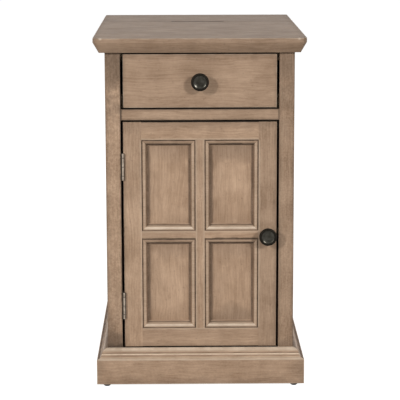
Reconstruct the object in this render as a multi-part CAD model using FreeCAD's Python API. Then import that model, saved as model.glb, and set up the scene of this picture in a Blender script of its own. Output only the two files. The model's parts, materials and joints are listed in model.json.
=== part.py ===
import FreeCAD, Part
import math
import os

os.makedirs("parts", exist_ok=True)

# A narrow, deep chairside table: a cabinet with one drawer, one hinged door and a lid at the rear of the top.
# Millimetres. +X is right and +Y is into the depth, seen from the front; +Z is up from the ground.

# Case boards
case_width = 354.0
case_depth = 590.0
side_thickness = 15.0
floor_thickness = 15.0
drawer_floor_thickness = 12.0
partition_thickness = 15.0
back_thickness = 5.0
housing_depth = 6.0
rear_rail_height = 60.0
rear_rail_thickness = 22.0
back_lap = 12.0
cable_hole_diameter = 38.0

# Heights on the front, from the ground up
glide_height = 5.0
base_height = 48.0
door_foot_gap = 2.2
door_height = 432.5
door_head_gap = 3.4
rail_height = 20.6
drawer_foot_gap = 2.5
drawer_front_height = 101.0
drawer_head_gap = 3.0
top_thickness = 27.5

# Face frame
stile_width = 28.5
frame_thickness = 22.0
frame_arris = 1.5
tenon_length = 12.0
tenon_thickness = 8.0
tenon_shoulder = 3.0

# Top and lid, with a rounded nose over a bevelled underside and rounded corners
top_overhang = 21.6
top_round = 1.2
top_corner = 12.5
lid_corner = 8.0
top_nose = 8.2
nose_round = 3.0
top_bevel = 11.5
lid_depth = 200.0
lid_gap = 1.2
slot_length = 105.0
slot_width = 7.0
slot_corner = 3.0
cleat_width = 16.0
cleat_height = 18.0
top_screw_count = 2
top_screw_end = 60.0
top_screw_length = 32.0
top_screw_diameter = 4.0
top_screw_head = 8.0

# Base boards and the moulded cap above them
base_board = 20.6
base_arris = 1.5
cap_setback = 2.1
cap_lip = 1.0
cap_cove = 6.0
cap_step = 1.2
cap_ledge = 1.7
base_rail_thickness = 18.0
corner_block = 40.0
glide_diameter = 16.0
glide_sole = 10.0
glide_rim = 2.0
glide_inset = 19.0
nail_diameter = 2.2
nail_length = 16.0

# Door: a frame with crossed bars in front of one panel
door_thickness = 22.0
door_stile = 34.5
door_top_rail = 34.2
door_bottom_rail = 35.6
door_bar = 17.0
door_cross_bar = 15.0
door_arris = 1.0
panel_recess = 13.0
panel_thickness = 5.0
groove_depth = 7.0
groove_slack = 0.5

# Bead moulding round each of the four fields of the door
moulding_width = 12.8
quirk_width = 1.2
quirk_depth = 1.8
bead_crest = 0.5
bead_width = 6.4
bead_slope = 0.8
bead_round = 2.3
bead_drop = 1.0
cove_run = 1.2
cove_rise = 1.0
cove_round = 3.0
moulding_toe = 0.8

# Turned hardware is drawn with flat sides
screw_sides = 8
peg_sides = 12
barrel_sides = 20
knob_sides = 40

# Butt hinges, the same pattern on the door and on the lid
hinge_length = 50.8
hinge_leaf = 1.5
leaf_clearance = 0.9
leaf_width = 18.0
knuckle_count = 4
knuckle_gap = 0.4
barrel_diameter = 6.0
barrel_clearance = 0.35
strap_inset = 1.2
pin_diameter = 3.0
pin_clearance = 0.05
upper_hinge_inset = 59.0
lower_hinge_inset = 55.4
lid_hinge_inset = 60.0
lid_leaf_clearance = 0.2
hinge_screw_diameter = 2.8
hinge_screw_head = 5.2
hinge_screw_length = 13.0
hinge_screw_end = 10.0

# Knobs with a raised rim round a dished face
knob_diameter = 33.5
knob_projection = 27.0
knob_foot_diameter = 17.0
knob_foot_height = 2.5
knob_neck_diameter = 10.5
knob_head_height = 11.0
knob_belly_diameter = 25.0
knob_belly_height = 7.5
knob_rim_height = 4.5
knob_rim_ease = 1.4
knob_rim_width = 2.2
knob_dish_depth = 3.2
knob_dish_floor = 10.0
knob_dish_slope_depth = 1.9
knob_dish_slope = 19.5
knob_screw_diameter = 4.0
knob_screw_clearance = 0.3
knob_screw_grip = 12.0
knob_screw_head = 8.5
knob_screw_head_height = 2.6

# Drawer
drawer_side_gap = 4.4
drawer_front_thickness = 20.0
drawer_arris = 1.2
box_inset = 6.5
box_side = 12.0
box_height = 84.0
box_back = 12.0
box_bottom = 5.0
box_bottom_rise = 8.0
bottom_groove = 5.0
box_stop_gap = 1.0
runner_clearance = 0.3
guide_clearance = 0.5
guide_height = 25.0
tail_count = 3
tail_length = 12.0
tail_share = 0.68
tail_slope = 6.0

# Shelf and its spade pins
shelf_thickness = 15.0
shelf_height = 205.0
shelf_setback = 40.0
shelf_side_gap = 1.0
shelf_back_gap = 5.0
pin_hole_diameter = 5.0
pin_hole_depth = 9.0
pin_hole_pitch = 32.0
pin_hole_rows = 3
pin_inset = 60.0
pin_plate = 12.0
pin_plate_thickness = 1.6

# Magnetic catch and its strike plate
catch_width = 46.0
catch_depth = 16.0
catch_height = 26.0
catch_gap = 0.3
strike_width = 30.0
strike_height = 12.0
strike_thickness = 1.0
strike_edge = 1.5

# Heights worked out from the stack above
cap_outer = base_board - cap_setback
cap_ovolo = cap_outer - cap_cove - cap_ledge
cap_height = cap_lip + cap_cove + cap_step + cap_ovolo
base_z = glide_height
cap_z = base_z + base_height
cap_top = cap_z + cap_height
door_z0 = cap_top + door_foot_gap
door_z1 = door_z0 + door_height
rail_z0 = door_z1 + door_head_gap
rail_z1 = rail_z0 + rail_height
drawer_z0 = rail_z1 + drawer_foot_gap
drawer_z1 = drawer_z0 + drawer_front_height
case_top = drawer_z1 + drawer_head_gap
table_top = case_top + top_thickness
floor_z0 = cap_top - floor_thickness
drawer_floor_z0 = rail_z1 - drawer_floor_thickness
rear_rail_z0 = case_top - rear_rail_height

# Widths, measured out from the middle
case_x = case_width / 2
inner_x = case_x - side_thickness
open_x = case_x - stile_width
base_x = case_x + base_board
top_x = case_x + top_overhang
door_side_gap = 2 * hinge_leaf + leaf_clearance
door_x = open_x - door_side_gap
drawer_x = open_x - drawer_side_gap
box_x = open_x - box_inset

# Depths, with the origin half way between the foremost and the rearmost point
barrel_radius = barrel_diameter / 2
barrel_offset = barrel_radius + barrel_clearance
front_reach = max(knob_projection, top_overhang, base_board)
back_reach = barrel_offset + barrel_radius
face_y = front_reach - (front_reach + case_depth + back_reach) / 2
back_y = face_y + case_depth
frame_back = face_y + frame_thickness
door_back = face_y + door_thickness
front_back = face_y + drawer_front_thickness
panel_front = face_y + panel_recess
back_front = back_y - back_thickness
top_front = face_y - top_overhang
lid_front = back_y - lid_depth
top_back = lid_front - lid_gap
partition_front = top_back - partition_thickness


def at(x, y, z):
    return FreeCAD.Vector(x, y, z)


X_AXIS = at(1, 0, 0)
Y_AXIS = at(0, 1, 0)
Z_AXIS = at(0, 0, 1)
ORIGIN = at(0, 0, 0)
same_place = 1e-5


def box(x0, x1, y0, y1, z0, z1):
    return Part.makeBox(x1 - x0, y1 - y0, z1 - z0, at(x0, y0, z0))


def round_bar(start, direction, radius, length):
    return Part.makeCylinder(radius, length, start, direction)


def mirrored(shape):
    return shape.mirror(ORIGIN, X_AXIS)


def fused(shapes):
    return shapes[0].fuse(shapes[1:]).removeSplitter()


def without(shape, tools):
    return shape.cut(tools)


def save(node, shapes):
    solid = shapes[0] if len(shapes) == 1 else Part.makeCompound(shapes)
    solid.exportStep("parts/" + node + ".step")


def flat_face(corners):
    return Part.Face(Part.makePolygon(corners + corners[:1]))


def ring_corners(centre, direction, radius, sides):
    across = X_AXIS if abs(direction.z) > abs(direction.x) else Z_AXIS
    rise = direction.cross(across)
    turns = [2 * math.pi * number / sides for number in range(sides)]
    return [centre + across * (radius * math.cos(turn)) + rise * (radius * math.sin(turn)) for turn in turns]


def peg(start, direction, radius, length, sides):
    """A straight bar with flat sides."""
    return flat_face(ring_corners(start, direction, radius, sides)).extrude(direction * length)


def taper(start, direction, start_radius, end_radius, length, sides):
    """A bar with flat sides that widens or narrows evenly."""
    near = ring_corners(start, direction, start_radius, sides)
    far = ring_corners(start + direction * length, direction, end_radius, sides)
    flanks = [flat_face([near[n - 1], near[n], far[n], far[n - 1]]) for n in range(sides)]
    solid = Part.makeSolid(Part.makeShell([flat_face(near), flat_face(far)] + flanks))
    return solid if solid.Volume > 0 else solid.reversed()


def turned(points, place, direction, sides):
    """Tapers stacked on an axis through (radius, height) pairs."""
    return fused([
        taper(place + direction * low[1], direction, low[0], high[0], high[1] - low[1], sides)
        for low, high in zip(points, points[1:])
        if high[1] > low[1]
    ])


def outline(points, origin, across, rise):
    """A face whose corners are (across, rise) pairs; a third number rounds that corner, within its edges."""
    corners = [origin + across * point[0] + rise * point[1] for point in points]
    radii = [point[2] if len(point) > 2 else 0.0 for point in points]
    runs = []
    arcs = []
    for index, corner in enumerate(corners):
        following = (index + 1) % len(corners)
        before = corners[index - 1] - corner
        after = corners[following] - corner
        room_before = before.Length / 2 if radii[index - 1] > 0 else before.Length
        room_after = after.Length / 2 if radii[following] > 0 else after.Length
        before.normalize()
        after.normalize()
        half_turn = before.getAngle(after) / 2
        setback = min(radii[index] / math.tan(half_turn), room_before, room_after)
        radius = setback * math.tan(half_turn)
        first = corner + before * setback
        last = corner + after * setback
        runs.append((first, last))
        if setback > 0:
            bisector = (before + after).normalize()
            middle = corner + bisector * (radius / math.sin(half_turn) - radius)
            arcs.append(Part.Arc(first, middle, last).toShape())
        else:
            arcs.append(None)
    edges = []
    for index, (first, last) in enumerate(runs):
        if arcs[index]:
            edges.append(arcs[index])
        onward = runs[(index + 1) % len(runs)][0]
        if last.distanceToPoint(onward) > same_place:
            edges.append(Part.LineSegment(last, onward).toShape())
    return Part.Face(Part.Wire(edges))


def moulding(points, origin, along, across, rise, length, width, height, start_mitre, end_mitre):
    """A stick of moulding. A mitre of -1 lengthens its outer edge by its width, 1 shortens it."""
    reach = along * width
    stick = outline(points, origin - reach, across, rise).extrude(along * (length + 2 * width))
    plan = [
        origin,
        origin + across * width + along * (start_mitre * width),
        origin + across * width + along * (length - end_mitre * width),
        origin + along * length,
    ]
    prism = flat_face(plan).extrude(rise * height)
    return stick.common(prism)


def eased(shape, radius, wanted):
    """Rounds the straight edges that the test picks."""
    edges = [edge for edge in shape.Edges if wanted(edge)]
    return shape.makeFillet(radius, edges)


def on_plane(edge, axis, value):
    return all(abs(getattr(vertex.Point, axis) - value) < same_place for vertex in edge.Vertexes)


def screw(head_at, direction, head_diameter, shank_diameter, length):
    """A countersunk screw whose flat head lies at the given point."""
    head = head_diameter / 2
    shank = shank_diameter / 2
    return turned([(head, 0), (shank, head - shank), (shank, length)], head_at, direction, screw_sides)


# Face frame: two stiles that run to the ground boards, and two rails tenoned between them
def frame_rail(z0, z1):
    body = box(-open_x, open_x, face_y, frame_back, z0, z1)
    tenon_y = (face_y + frame_back) / 2
    tenon = box(
        -open_x - tenon_length, open_x + tenon_length,
        tenon_y - tenon_thickness / 2, tenon_y + tenon_thickness / 2,
        z0 + tenon_shoulder, z1 - tenon_shoulder,
    )
    return fused([body, tenon])


divider_rail = frame_rail(rail_z0, rail_z1)
bottom_rail = frame_rail(base_z, cap_top)
right_stile = box(open_x, case_x, face_y, frame_back, base_z, case_top)
right_stile = eased(
    right_stile, frame_arris,
    lambda edge: on_plane(edge, "x", case_x) and on_plane(edge, "y", face_y),
)
right_stile = without(right_stile, [divider_rail, bottom_rail])
left_stile = mirrored(right_stile)

# Floors let into the sides, and the back set in rebates
cupboard_floor = box(
    -inner_x - housing_depth, inner_x + housing_depth, frame_back, back_front, floor_z0, cap_top,
)
drawer_floor = box(
    -inner_x - housing_depth, inner_x + housing_depth, frame_back, back_front, drawer_floor_z0, rail_z1,
)
back_panel = box(
    -inner_x - housing_depth, inner_x + housing_depth, back_front, back_y, floor_z0, rear_rail_z0 + back_lap,
)
cable_hole_z = (rail_z1 + rear_rail_z0) / 2
cable_hole = round_bar(at(0, back_front, cable_hole_z), Y_AXIS, cable_hole_diameter / 2, back_thickness)
back_panel = without(back_panel, [cable_hole])
well_partition = box(-inner_x, inner_x, partition_front, top_back, rail_z1, case_top)

# Shelf on four spade pins, with spare rows of holes above and below
shelf_z = cap_top + shelf_height
shelf_y0 = door_back + shelf_setback
shelf_y1 = back_front - shelf_back_gap
shelf_x = inner_x - shelf_side_gap
shelf = box(-shelf_x, shelf_x, shelf_y0, shelf_y1, shelf_z, shelf_z + shelf_thickness)
pin_z = shelf_z - pin_plate / 2
pin_rows_y = [shelf_y0 + pin_inset, shelf_y1 - pin_inset]
pin_steps = [row - (pin_hole_rows - 1) / 2 for row in range(pin_hole_rows)]


def spade_pin(y):
    stem = peg(at(inner_x, y, pin_z), X_AXIS, pin_hole_diameter / 2, pin_hole_depth, peg_sides)
    y0 = y - pin_plate / 2
    y1 = y + pin_plate / 2
    upright = box(inner_x - pin_plate_thickness, inner_x, y0, y1, shelf_z - pin_plate, shelf_z)
    tab = box(inner_x - pin_plate, inner_x, y0, y1, shelf_z - pin_plate_thickness, shelf_z)
    return fused([upright, tab, stem])


right_pins = [spade_pin(y) for y in pin_rows_y]
left_pins = [mirrored(pin) for pin in right_pins]
pin_holes = [
    peg(
        at(inner_x, y, pin_z + step * pin_hole_pitch),
        X_AXIS, pin_hole_diameter / 2, pin_hole_depth, peg_sides,
    )
    for y in pin_rows_y
    for step in pin_steps
]

right_side = box(inner_x, case_x, frame_back, back_y, base_z, case_top)
right_side = without(right_side, [cupboard_floor, drawer_floor, back_panel] + pin_holes)
left_side = mirrored(right_side)

# Rail across the rear, which carries the lid
rear_top_rail = box(-inner_x, inner_x, back_y - rear_rail_thickness, back_y, rear_rail_z0, case_top)
rear_top_rail = without(rear_top_rail, [back_panel])


# Top and lid: the edge profile runs across the width and, on the top, along the front
shoulder = table_top - top_nose


def slab(depth_points):
    width_points = [
        (-top_x + top_bevel, case_top),
        (top_x - top_bevel, case_top),
        (top_x, shoulder, nose_round),
        (top_x, table_top, top_round),
        (-top_x, table_top, top_round),
        (-top_x, shoulder, nose_round),
    ]
    front_face = outline(width_points, at(0, top_front, 0), X_AXIS, Z_AXIS)
    side_face = outline(depth_points, at(-top_x, 0, 0), Y_AXIS, Z_AXIS)
    long_way = front_face.extrude(Y_AXIS * (back_y - top_front))
    wide_way = side_face.extrude(X_AXIS * (2 * top_x))
    return long_way.common(wide_way)


def turned_corner():
    """The front right corner of the top: its edge profile swept through a quarter turn."""
    foot = at(top_x - top_corner, top_front + top_corner, 0)
    points = [
        (0, case_top),
        (top_corner - top_bevel, case_top),
        (top_corner, shoulder, nose_round),
        (top_corner, table_top, top_round),
        (0, table_top),
    ]
    return outline(points, foot, Y_AXIS * -1, Z_AXIS).revolve(foot, Z_AXIS, 90)


top_panel = slab([
    (top_front + top_bevel, case_top),
    (top_front, shoulder, nose_round),
    (top_front, table_top, top_round),
    (top_back, table_top),
    (top_back, case_top),
])
lid_panel = slab([
    (lid_front, case_top),
    (lid_front, table_top),
    (back_y, table_top, top_round),
    (back_y, case_top),
])
square_corner = box(
    top_x - top_corner, top_x, top_front, top_front + top_corner, case_top, table_top,
)
top_panel = without(top_panel, [square_corner, mirrored(square_corner)])
top_panel = fused([top_panel, turned_corner(), mirrored(turned_corner())])
lid_plan = [
    (-top_x, lid_front),
    (top_x, lid_front),
    (top_x, back_y, lid_corner),
    (-top_x, back_y, lid_corner),
]
lid_outline = outline(lid_plan, at(0, 0, case_top), X_AXIS, Y_AXIS).extrude(Z_AXIS * top_thickness)
lid_panel = lid_panel.common(lid_outline)
slot_points = [
    (-slot_length / 2, -lid_gap),
    (slot_length / 2, -lid_gap),
    (slot_length / 2, slot_width, slot_corner),
    (-slot_length / 2, slot_width, slot_corner),
]
slot = outline(slot_points, at(0, lid_front, case_top), X_AXIS, Y_AXIS).extrude(Z_AXIS * top_thickness)
lid_panel = without(lid_panel, [slot])

# Cleats inside the case, screwed up into the top
cleat_z0 = case_top - cleat_height
right_cleat = box(inner_x - cleat_width, inner_x, frame_back, partition_front, cleat_z0, case_top)
top_screw_run = partition_front - frame_back - 2 * top_screw_end
right_top_screws = [
    screw(
        at(
            inner_x - cleat_width / 2,
            frame_back + top_screw_end + top_screw_run * number / (top_screw_count - 1),
            cleat_z0,
        ),
        Z_AXIS, top_screw_head, top_screw_diameter, top_screw_length,
    )
    for number in range(top_screw_count)
]
right_cleat = without(right_cleat, right_top_screws)
top_screws = right_top_screws + [mirrored(one) for one in right_top_screws]
top_panel = without(top_panel, top_screws)

# Base boards mitred at the front, and the cap moulding mitred above them
board_points = [
    (0, 0),
    (base_board, 0),
    (base_board, base_height, base_arris),
    (0, base_height),
]
cap_points = [
    (0, 0),
    (cap_outer, 0),
    (cap_outer, cap_lip),
    (cap_outer - cap_cove, cap_lip, cap_cove),
    (cap_outer - cap_cove, cap_lip + cap_cove + cap_step),
    (cap_ovolo, cap_lip + cap_cove + cap_step),
    (cap_ovolo, cap_height, cap_ovolo),
    (0, cap_height),
]


def base_run(points, z, width, height, side):
    if side == "front":
        return moulding(
            points, at(-case_x, face_y, z), X_AXIS, Y_AXIS * -1, Z_AXIS, case_width, width, height, -1, -1,
        )
    return moulding(
        points, at(case_x, face_y, z), Y_AXIS, X_AXIS, Z_AXIS, case_depth, width, height, -1, 0,
    )


base_front = base_run(board_points, base_z, base_board, base_height, "front")
base_right = base_run(board_points, base_z, base_board, base_height, "right")
cap_front = base_run(cap_points, cap_z, cap_outer, cap_height, "front")
cap_right = base_run(cap_points, cap_z, cap_outer, cap_height, "right")
base_back_rail = box(-inner_x, inner_x, back_front - base_rail_thickness, back_front, base_z, floor_z0)


# Blocks glued in the corners of the base
def corner_prism(y, inward):
    plan = [
        at(inner_x, y, base_z),
        at(inner_x - corner_block, y, base_z),
        at(inner_x, y + inward * corner_block, base_z),
    ]
    return flat_face(plan).extrude(Z_AXIS * (floor_z0 - base_z))


right_blocks = [corner_prism(frame_back, 1), corner_prism(back_front - base_rail_thickness, -1)]


# Nailed glides that the table stands on
def glide(x, y):
    points = [
        (glide_sole / 2, 0),
        (glide_diameter / 2, glide_height - glide_rim),
        (glide_diameter / 2, glide_height),
        (nail_diameter / 2, glide_height),
        (nail_diameter / 2, glide_height + nail_length),
    ]
    return turned(points, at(x, y, 0), Z_AXIS, peg_sides)


front_glide = glide(base_x - glide_inset, face_y - base_board / 2)
rear_glide = glide(base_x - base_board / 2, back_y - glide_inset)
glides = [front_glide, mirrored(front_glide), rear_glide, mirrored(rear_glide)]
base_front = without(base_front, glides)
base_right = without(base_right, [rear_glide])

# Butt hinge, made about its own pin: Z along the pin, leaves towards +Y, thickness along X
# Its two end knuckles are half as long as the ones between them
hinge_end = hinge_length / 2
knuckle_pitch = hinge_length / (knuckle_count - 1)
knuckle_joins = [(number + 0.5) * knuckle_pitch - hinge_end for number in range(knuckle_count - 1)]
knuckle_tops = [join - knuckle_gap / 2 for join in knuckle_joins] + [hinge_end]
knuckle_feet = [-hinge_end] + [join + knuckle_gap / 2 for join in knuckle_joins]


def hinge_leaf_solid(leaf_x0, leaf_x1, first_knuckle):
    bore_radius = (pin_diameter / 2 + pin_clearance) / math.cos(math.pi / peg_sides)
    bore = peg(at(0, 0, -hinge_end), Z_AXIS, bore_radius, hinge_length, peg_sides)
    pieces = [box(leaf_x0, leaf_x1, barrel_offset, barrel_offset + leaf_width, -hinge_end, hinge_end)]
    strap_reach = barrel_radius - strap_inset
    strap_x0 = min(leaf_x0, strap_reach)
    strap_x1 = max(leaf_x1, -strap_reach)
    for z0, z1 in list(zip(knuckle_feet, knuckle_tops))[first_knuckle::2]:
        pieces.append(peg(at(0, 0, z0), Z_AXIS, barrel_radius, z1 - z0, barrel_sides))
        pieces.append(box(strap_x0, strap_x1, 0, barrel_offset, z0, z1))
    return fused(pieces).cut(bore)


def hinge_screws(surface_x, into):
    return [
        screw(
            at(surface_x, barrel_offset + leaf_width / 2, side * (hinge_end - hinge_screw_end)),
            X_AXIS * into, hinge_screw_head, hinge_screw_diameter, hinge_screw_length,
        )
        for side in (-1, 1)
    ]


def placed(shapes, placement):
    moved = []
    for shape in shapes:
        copy = shape.copy()
        copy.Placement = placement.multiply(copy.Placement)
        moved.append(copy)
    return moved


hinge_pin = peg(at(0, 0, -hinge_end), Z_AXIS, pin_diameter / 2, hinge_length, peg_sides)

# Door hinges: the pin stands in line with the door's edge, clear in front of the face
frame_leaf_screws = hinge_screws(-door_side_gap + hinge_leaf, -1)
door_leaf_screws = hinge_screws(-hinge_leaf, 1)
frame_leaf = without(hinge_leaf_solid(-door_side_gap, -door_side_gap + hinge_leaf, 0), frame_leaf_screws)
door_leaf = without(hinge_leaf_solid(-hinge_leaf, 0, 1), door_leaf_screws)
upper_hinge_z = door_z1 - upper_hinge_inset - hinge_length / 2
lower_hinge_z = door_z0 + lower_hinge_inset + hinge_length / 2
door_hinges = [
    FreeCAD.Placement(at(-door_x, face_y - barrel_offset, z), FreeCAD.Rotation())
    for z in (upper_hinge_z, lower_hinge_z)
]
frame_leaves = [placed([frame_leaf], place)[0] for place in door_hinges]
door_leaves = [placed([door_leaf], place)[0] for place in door_hinges]
door_hinge_pins = [placed([hinge_pin], place)[0] for place in door_hinges]
all_frame_screws = [one for place in door_hinges for one in placed(frame_leaf_screws, place)]
all_door_screws = [one for place in door_hinges for one in placed(door_leaf_screws, place)]
left_stile = without(left_stile, all_frame_screws)

# Lid hinges: let into the rear rail and the lid, with the barrel behind them
half_gap = lid_leaf_clearance / 2
rail_leaf_screws = hinge_screws(-half_gap, -1)
lid_leaf_screws = hinge_screws(half_gap, 1)
rail_leaf = without(hinge_leaf_solid(-half_gap - hinge_leaf, -half_gap, 0), rail_leaf_screws)
lid_leaf = without(hinge_leaf_solid(half_gap, half_gap + hinge_leaf, 1), lid_leaf_screws)
lid_turn = FreeCAD.Rotation(Z_AXIS, Y_AXIS * -1, X_AXIS, "XYZ")
lid_hinge_x = inner_x - lid_hinge_inset
lid_hinges = [
    FreeCAD.Placement(at(side * lid_hinge_x, back_y + barrel_offset, case_top), lid_turn)
    for side in (-1, 1)
]
rail_leaves = [placed([rail_leaf], place)[0] for place in lid_hinges]
lid_leaves = [placed([lid_leaf], place)[0] for place in lid_hinges]
lid_hinge_pins = [placed([hinge_pin], place)[0] for place in lid_hinges]
all_rail_screws = [one for place in lid_hinges for one in placed(rail_leaf_screws, place)]
all_lid_screws = [one for place in lid_hinges for one in placed(lid_leaf_screws, place)]
mortise_y1 = barrel_offset + leaf_width
rail_mortise = box(-half_gap - hinge_leaf, 0, barrel_offset, mortise_y1, -hinge_end, hinge_end)
lid_mortise = box(0, half_gap + hinge_leaf, barrel_offset, mortise_y1, -hinge_end, hinge_end)
rail_mortises = [placed([rail_mortise], place)[0] for place in lid_hinges]
lid_mortises = [placed([lid_mortise], place)[0] for place in lid_hinges]
rear_top_rail = without(rear_top_rail, rail_mortises + all_rail_screws)
lid_panel = without(lid_panel, lid_mortises + all_lid_screws)


# Knob turned about its own axis, standing out of a front, and its screw from behind
def knob_screw(x, z, back):
    length = back - face_y + knob_screw_grip
    shank = peg(at(x, back, z), Y_AXIS * -1, knob_screw_diameter / 2, length, screw_sides)
    head = peg(at(x, back, z), Y_AXIS, knob_screw_head / 2, knob_screw_head_height, peg_sides)
    return fused([shank, head])


def knob_hole(x, z, back):
    radius = knob_screw_diameter / 2 + knob_screw_clearance
    return peg(at(x, face_y, z), Y_AXIS, radius, back - face_y, screw_sides)


def knob(x, z, screw_solid):
    rim = knob_diameter / 2
    crest = rim - knob_rim_ease
    points = [
        (knob_foot_diameter / 2, 0),
        (knob_foot_diameter / 2, knob_foot_height),
        (knob_neck_diameter / 2, knob_foot_height),
        (knob_neck_diameter / 2, knob_projection - knob_head_height),
        (knob_belly_diameter / 2, knob_projection - knob_belly_height),
        (rim, knob_projection - knob_rim_height),
        (rim, knob_projection - knob_rim_ease),
        (crest, knob_projection),
    ]
    dish_points = [
        (knob_dish_floor / 2, knob_projection - knob_dish_depth),
        (knob_dish_slope / 2, knob_projection - knob_dish_slope_depth),
        (crest - knob_rim_width, knob_projection),
    ]
    place = at(x, face_y, z)
    head = turned(points, place, Y_AXIS * -1, knob_sides)
    dish = turned(dish_points, place, Y_AXIS * -1, knob_sides)
    return without(head, [dish, screw_solid])


# Door frame: stiles grooved for the panel, rails with tongues that fill the groove
panel_back = panel_front + panel_thickness
door_in_x = door_x - door_stile
door_in_z0 = door_z0 + door_bottom_rail
door_in_z1 = door_z1 - door_top_rail
cross_z = (door_in_z0 + door_in_z1) / 2
lock_x = door_x - door_stile / 2
panel_reach = groove_depth - groove_slack

door_panel = box(
    -door_in_x - panel_reach, door_in_x + panel_reach, panel_front, panel_back,
    door_in_z0 - panel_reach, door_in_z1 + panel_reach,
)
door_groove = box(
    -door_in_x - groove_depth, door_in_x + groove_depth, panel_front, panel_back, door_z0, door_z1,
)
rail_groove = box(
    -door_in_x - groove_depth, door_in_x + groove_depth, panel_front, panel_back,
    door_in_z0 - groove_depth, door_in_z1 + groove_depth,
)


def door_stile_solid():
    stile = box(door_in_x, door_x, face_y, door_back, door_z0, door_z1)
    stile = eased(
        stile, door_arris,
        lambda edge: on_plane(edge, "x", door_x) and on_plane(edge, "y", face_y),
    )
    return without(stile, [door_groove])


def door_rail_solid(z0, z1, outer_z):
    rail = box(-door_in_x, door_in_x, face_y, door_back, z0, z1)
    rail = eased(
        rail, door_arris,
        lambda edge: on_plane(edge, "z", outer_z) and on_plane(edge, "y", face_y),
    )
    tongues = box(-door_in_x - groove_depth, door_in_x + groove_depth, panel_front, panel_back, z0, z1)
    return without(fused([rail, tongues]), [rail_groove])


door_top = door_rail_solid(door_in_z1, door_z1, door_z1)
door_bottom = door_rail_solid(door_z0, door_in_z0, door_z0)
door_hinge_stile = without(mirrored(door_stile_solid()), all_door_screws)
door_lock_stile = without(door_stile_solid(), [knob_hole(lock_x, cross_z, door_back)])
door_knob_screw = knob_screw(lock_x, cross_z, door_back)

# Crossed bars, half lapped where they meet
bar_lap_y = face_y + panel_recess / 2
door_upright = box(-door_bar / 2, door_bar / 2, face_y, panel_front, door_in_z0, door_in_z1)
door_cross = box(
    -door_in_x, door_in_x, face_y, panel_front, cross_z - door_cross_bar / 2, cross_z + door_cross_bar / 2,
)
front_lap = box(
    -door_bar / 2, door_bar / 2, face_y, bar_lap_y,
    cross_z - door_cross_bar / 2, cross_z + door_cross_bar / 2,
)
door_cross = without(door_cross, [front_lap])
door_upright = without(door_upright, [door_cross])

# Bead moulding, four mitred sticks in each field
bead_end = quirk_width + bead_width
bead_low = panel_recess - quirk_depth
bead_high = panel_recess - bead_crest
moulding_points = [
    (0, 0),
    (moulding_width, 0),
    (moulding_width, moulding_toe),
    (bead_end + cove_run, moulding_toe + cove_rise, cove_round),
    (bead_end, bead_low - bead_drop),
    (bead_end - bead_slope, bead_high, bead_round),
    (quirk_width + bead_slope, bead_high, bead_round),
    (quirk_width, bead_low),
    (0, bead_low),
]


def field_moulding(x0, x1, z0, z1):
    corners = [
        (at(x0, panel_front, z0), X_AXIS, Z_AXIS, x1 - x0),
        (at(x1, panel_front, z0), Z_AXIS, X_AXIS * -1, z1 - z0),
        (at(x1, panel_front, z1), X_AXIS * -1, Z_AXIS * -1, x1 - x0),
        (at(x0, panel_front, z1), Z_AXIS * -1, X_AXIS, z1 - z0),
    ]
    return [
        moulding(moulding_points, corner, along, across, Y_AXIS * -1, length,
                 moulding_width, panel_recess, 1, 1)
        for corner, along, across, length in corners
    ]


field_columns = {"left": (-door_in_x, -door_bar / 2), "right": (door_bar / 2, door_in_x)}
field_rows = {
    "lower": (door_in_z0, cross_z - door_cross_bar / 2),
    "upper": (cross_z + door_cross_bar / 2, door_in_z1),
}
for row, (z0, z1) in field_rows.items():
    for column, (x0, x1) in field_columns.items():
        save(row + "_" + column + "_moulding", field_moulding(x0, x1, z0, z1))

# Magnetic catch under the drawer floor, and the strike it holds
catch_front = door_back + strike_thickness + catch_gap
magnetic_catch = box(
    lock_x - catch_width / 2, lock_x + catch_width / 2, catch_front, catch_front + catch_depth,
    drawer_floor_z0 - catch_height, drawer_floor_z0,
)
strike_z1 = door_z1 - strike_edge
catch_strike = box(
    lock_x - strike_width / 2, lock_x + strike_width / 2, door_back, door_back + strike_thickness,
    strike_z1 - strike_height, strike_z1,
)

# Drawer box, with lapped dovetails in the front and through dovetails at the back
box_z0 = rail_z1 + runner_clearance
box_z1 = box_z0 + box_height
box_end = partition_front - box_stop_gap
box_back_front = box_end - box_back
bottom_z0 = box_z0 + box_bottom_rise
bottom_z1 = bottom_z0 + box_bottom
tail_pitch = box_height / tail_count
tail_tip = tail_pitch * tail_share


def tails(root_y, tip_y):
    root_half = tail_tip / 2 - abs(tip_y - root_y) / tail_slope
    solids = []
    for number in range(tail_count):
        middle = box_z0 + (number + 0.5) * tail_pitch
        points = [
            (root_y, middle - root_half),
            (root_y, middle + root_half),
            (tip_y, middle + tail_tip / 2),
            (tip_y, middle - tail_tip / 2),
        ]
        face = outline(points, at(box_x - box_side, 0, 0), Y_AXIS, Z_AXIS)
        solids.append(face.extrude(X_AXIS * box_side))
    return solids


drawer_bottom = box(
    -box_x + box_side - bottom_groove, box_x - box_side + bottom_groove,
    front_back - bottom_groove, box_end, bottom_z0, bottom_z1,
)
side_board = box(box_x - box_side, box_x, front_back, box_back_front, box_z0, box_z1)
side_tails = tails(front_back, front_back - tail_length) + tails(box_back_front, box_end)
right_box_side = without(fused([side_board] + side_tails), [drawer_bottom])
left_box_side = mirrored(right_box_side)
drawer_mid_z = (drawer_z0 + drawer_z1) / 2
drawer_front = box(-drawer_x, drawer_x, face_y, front_back, drawer_z0, drawer_z1)
drawer_front = eased(drawer_front, drawer_arris, lambda edge: on_plane(edge, "y", face_y))
drawer_front = without(
    drawer_front,
    [right_box_side, left_box_side, drawer_bottom, knob_hole(0, drawer_mid_z, front_back)],
)
drawer_knob_screw = knob_screw(0, drawer_mid_z, front_back)
drawer_back = box(-box_x, box_x, box_back_front, box_end, bottom_z1, box_z1)
drawer_back = without(drawer_back, [right_box_side, left_box_side])

# Guides that keep the drawer straight
right_guide = box(
    box_x + guide_clearance, inner_x, frame_back, partition_front, rail_z1, rail_z1 + guide_height,
)

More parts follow.
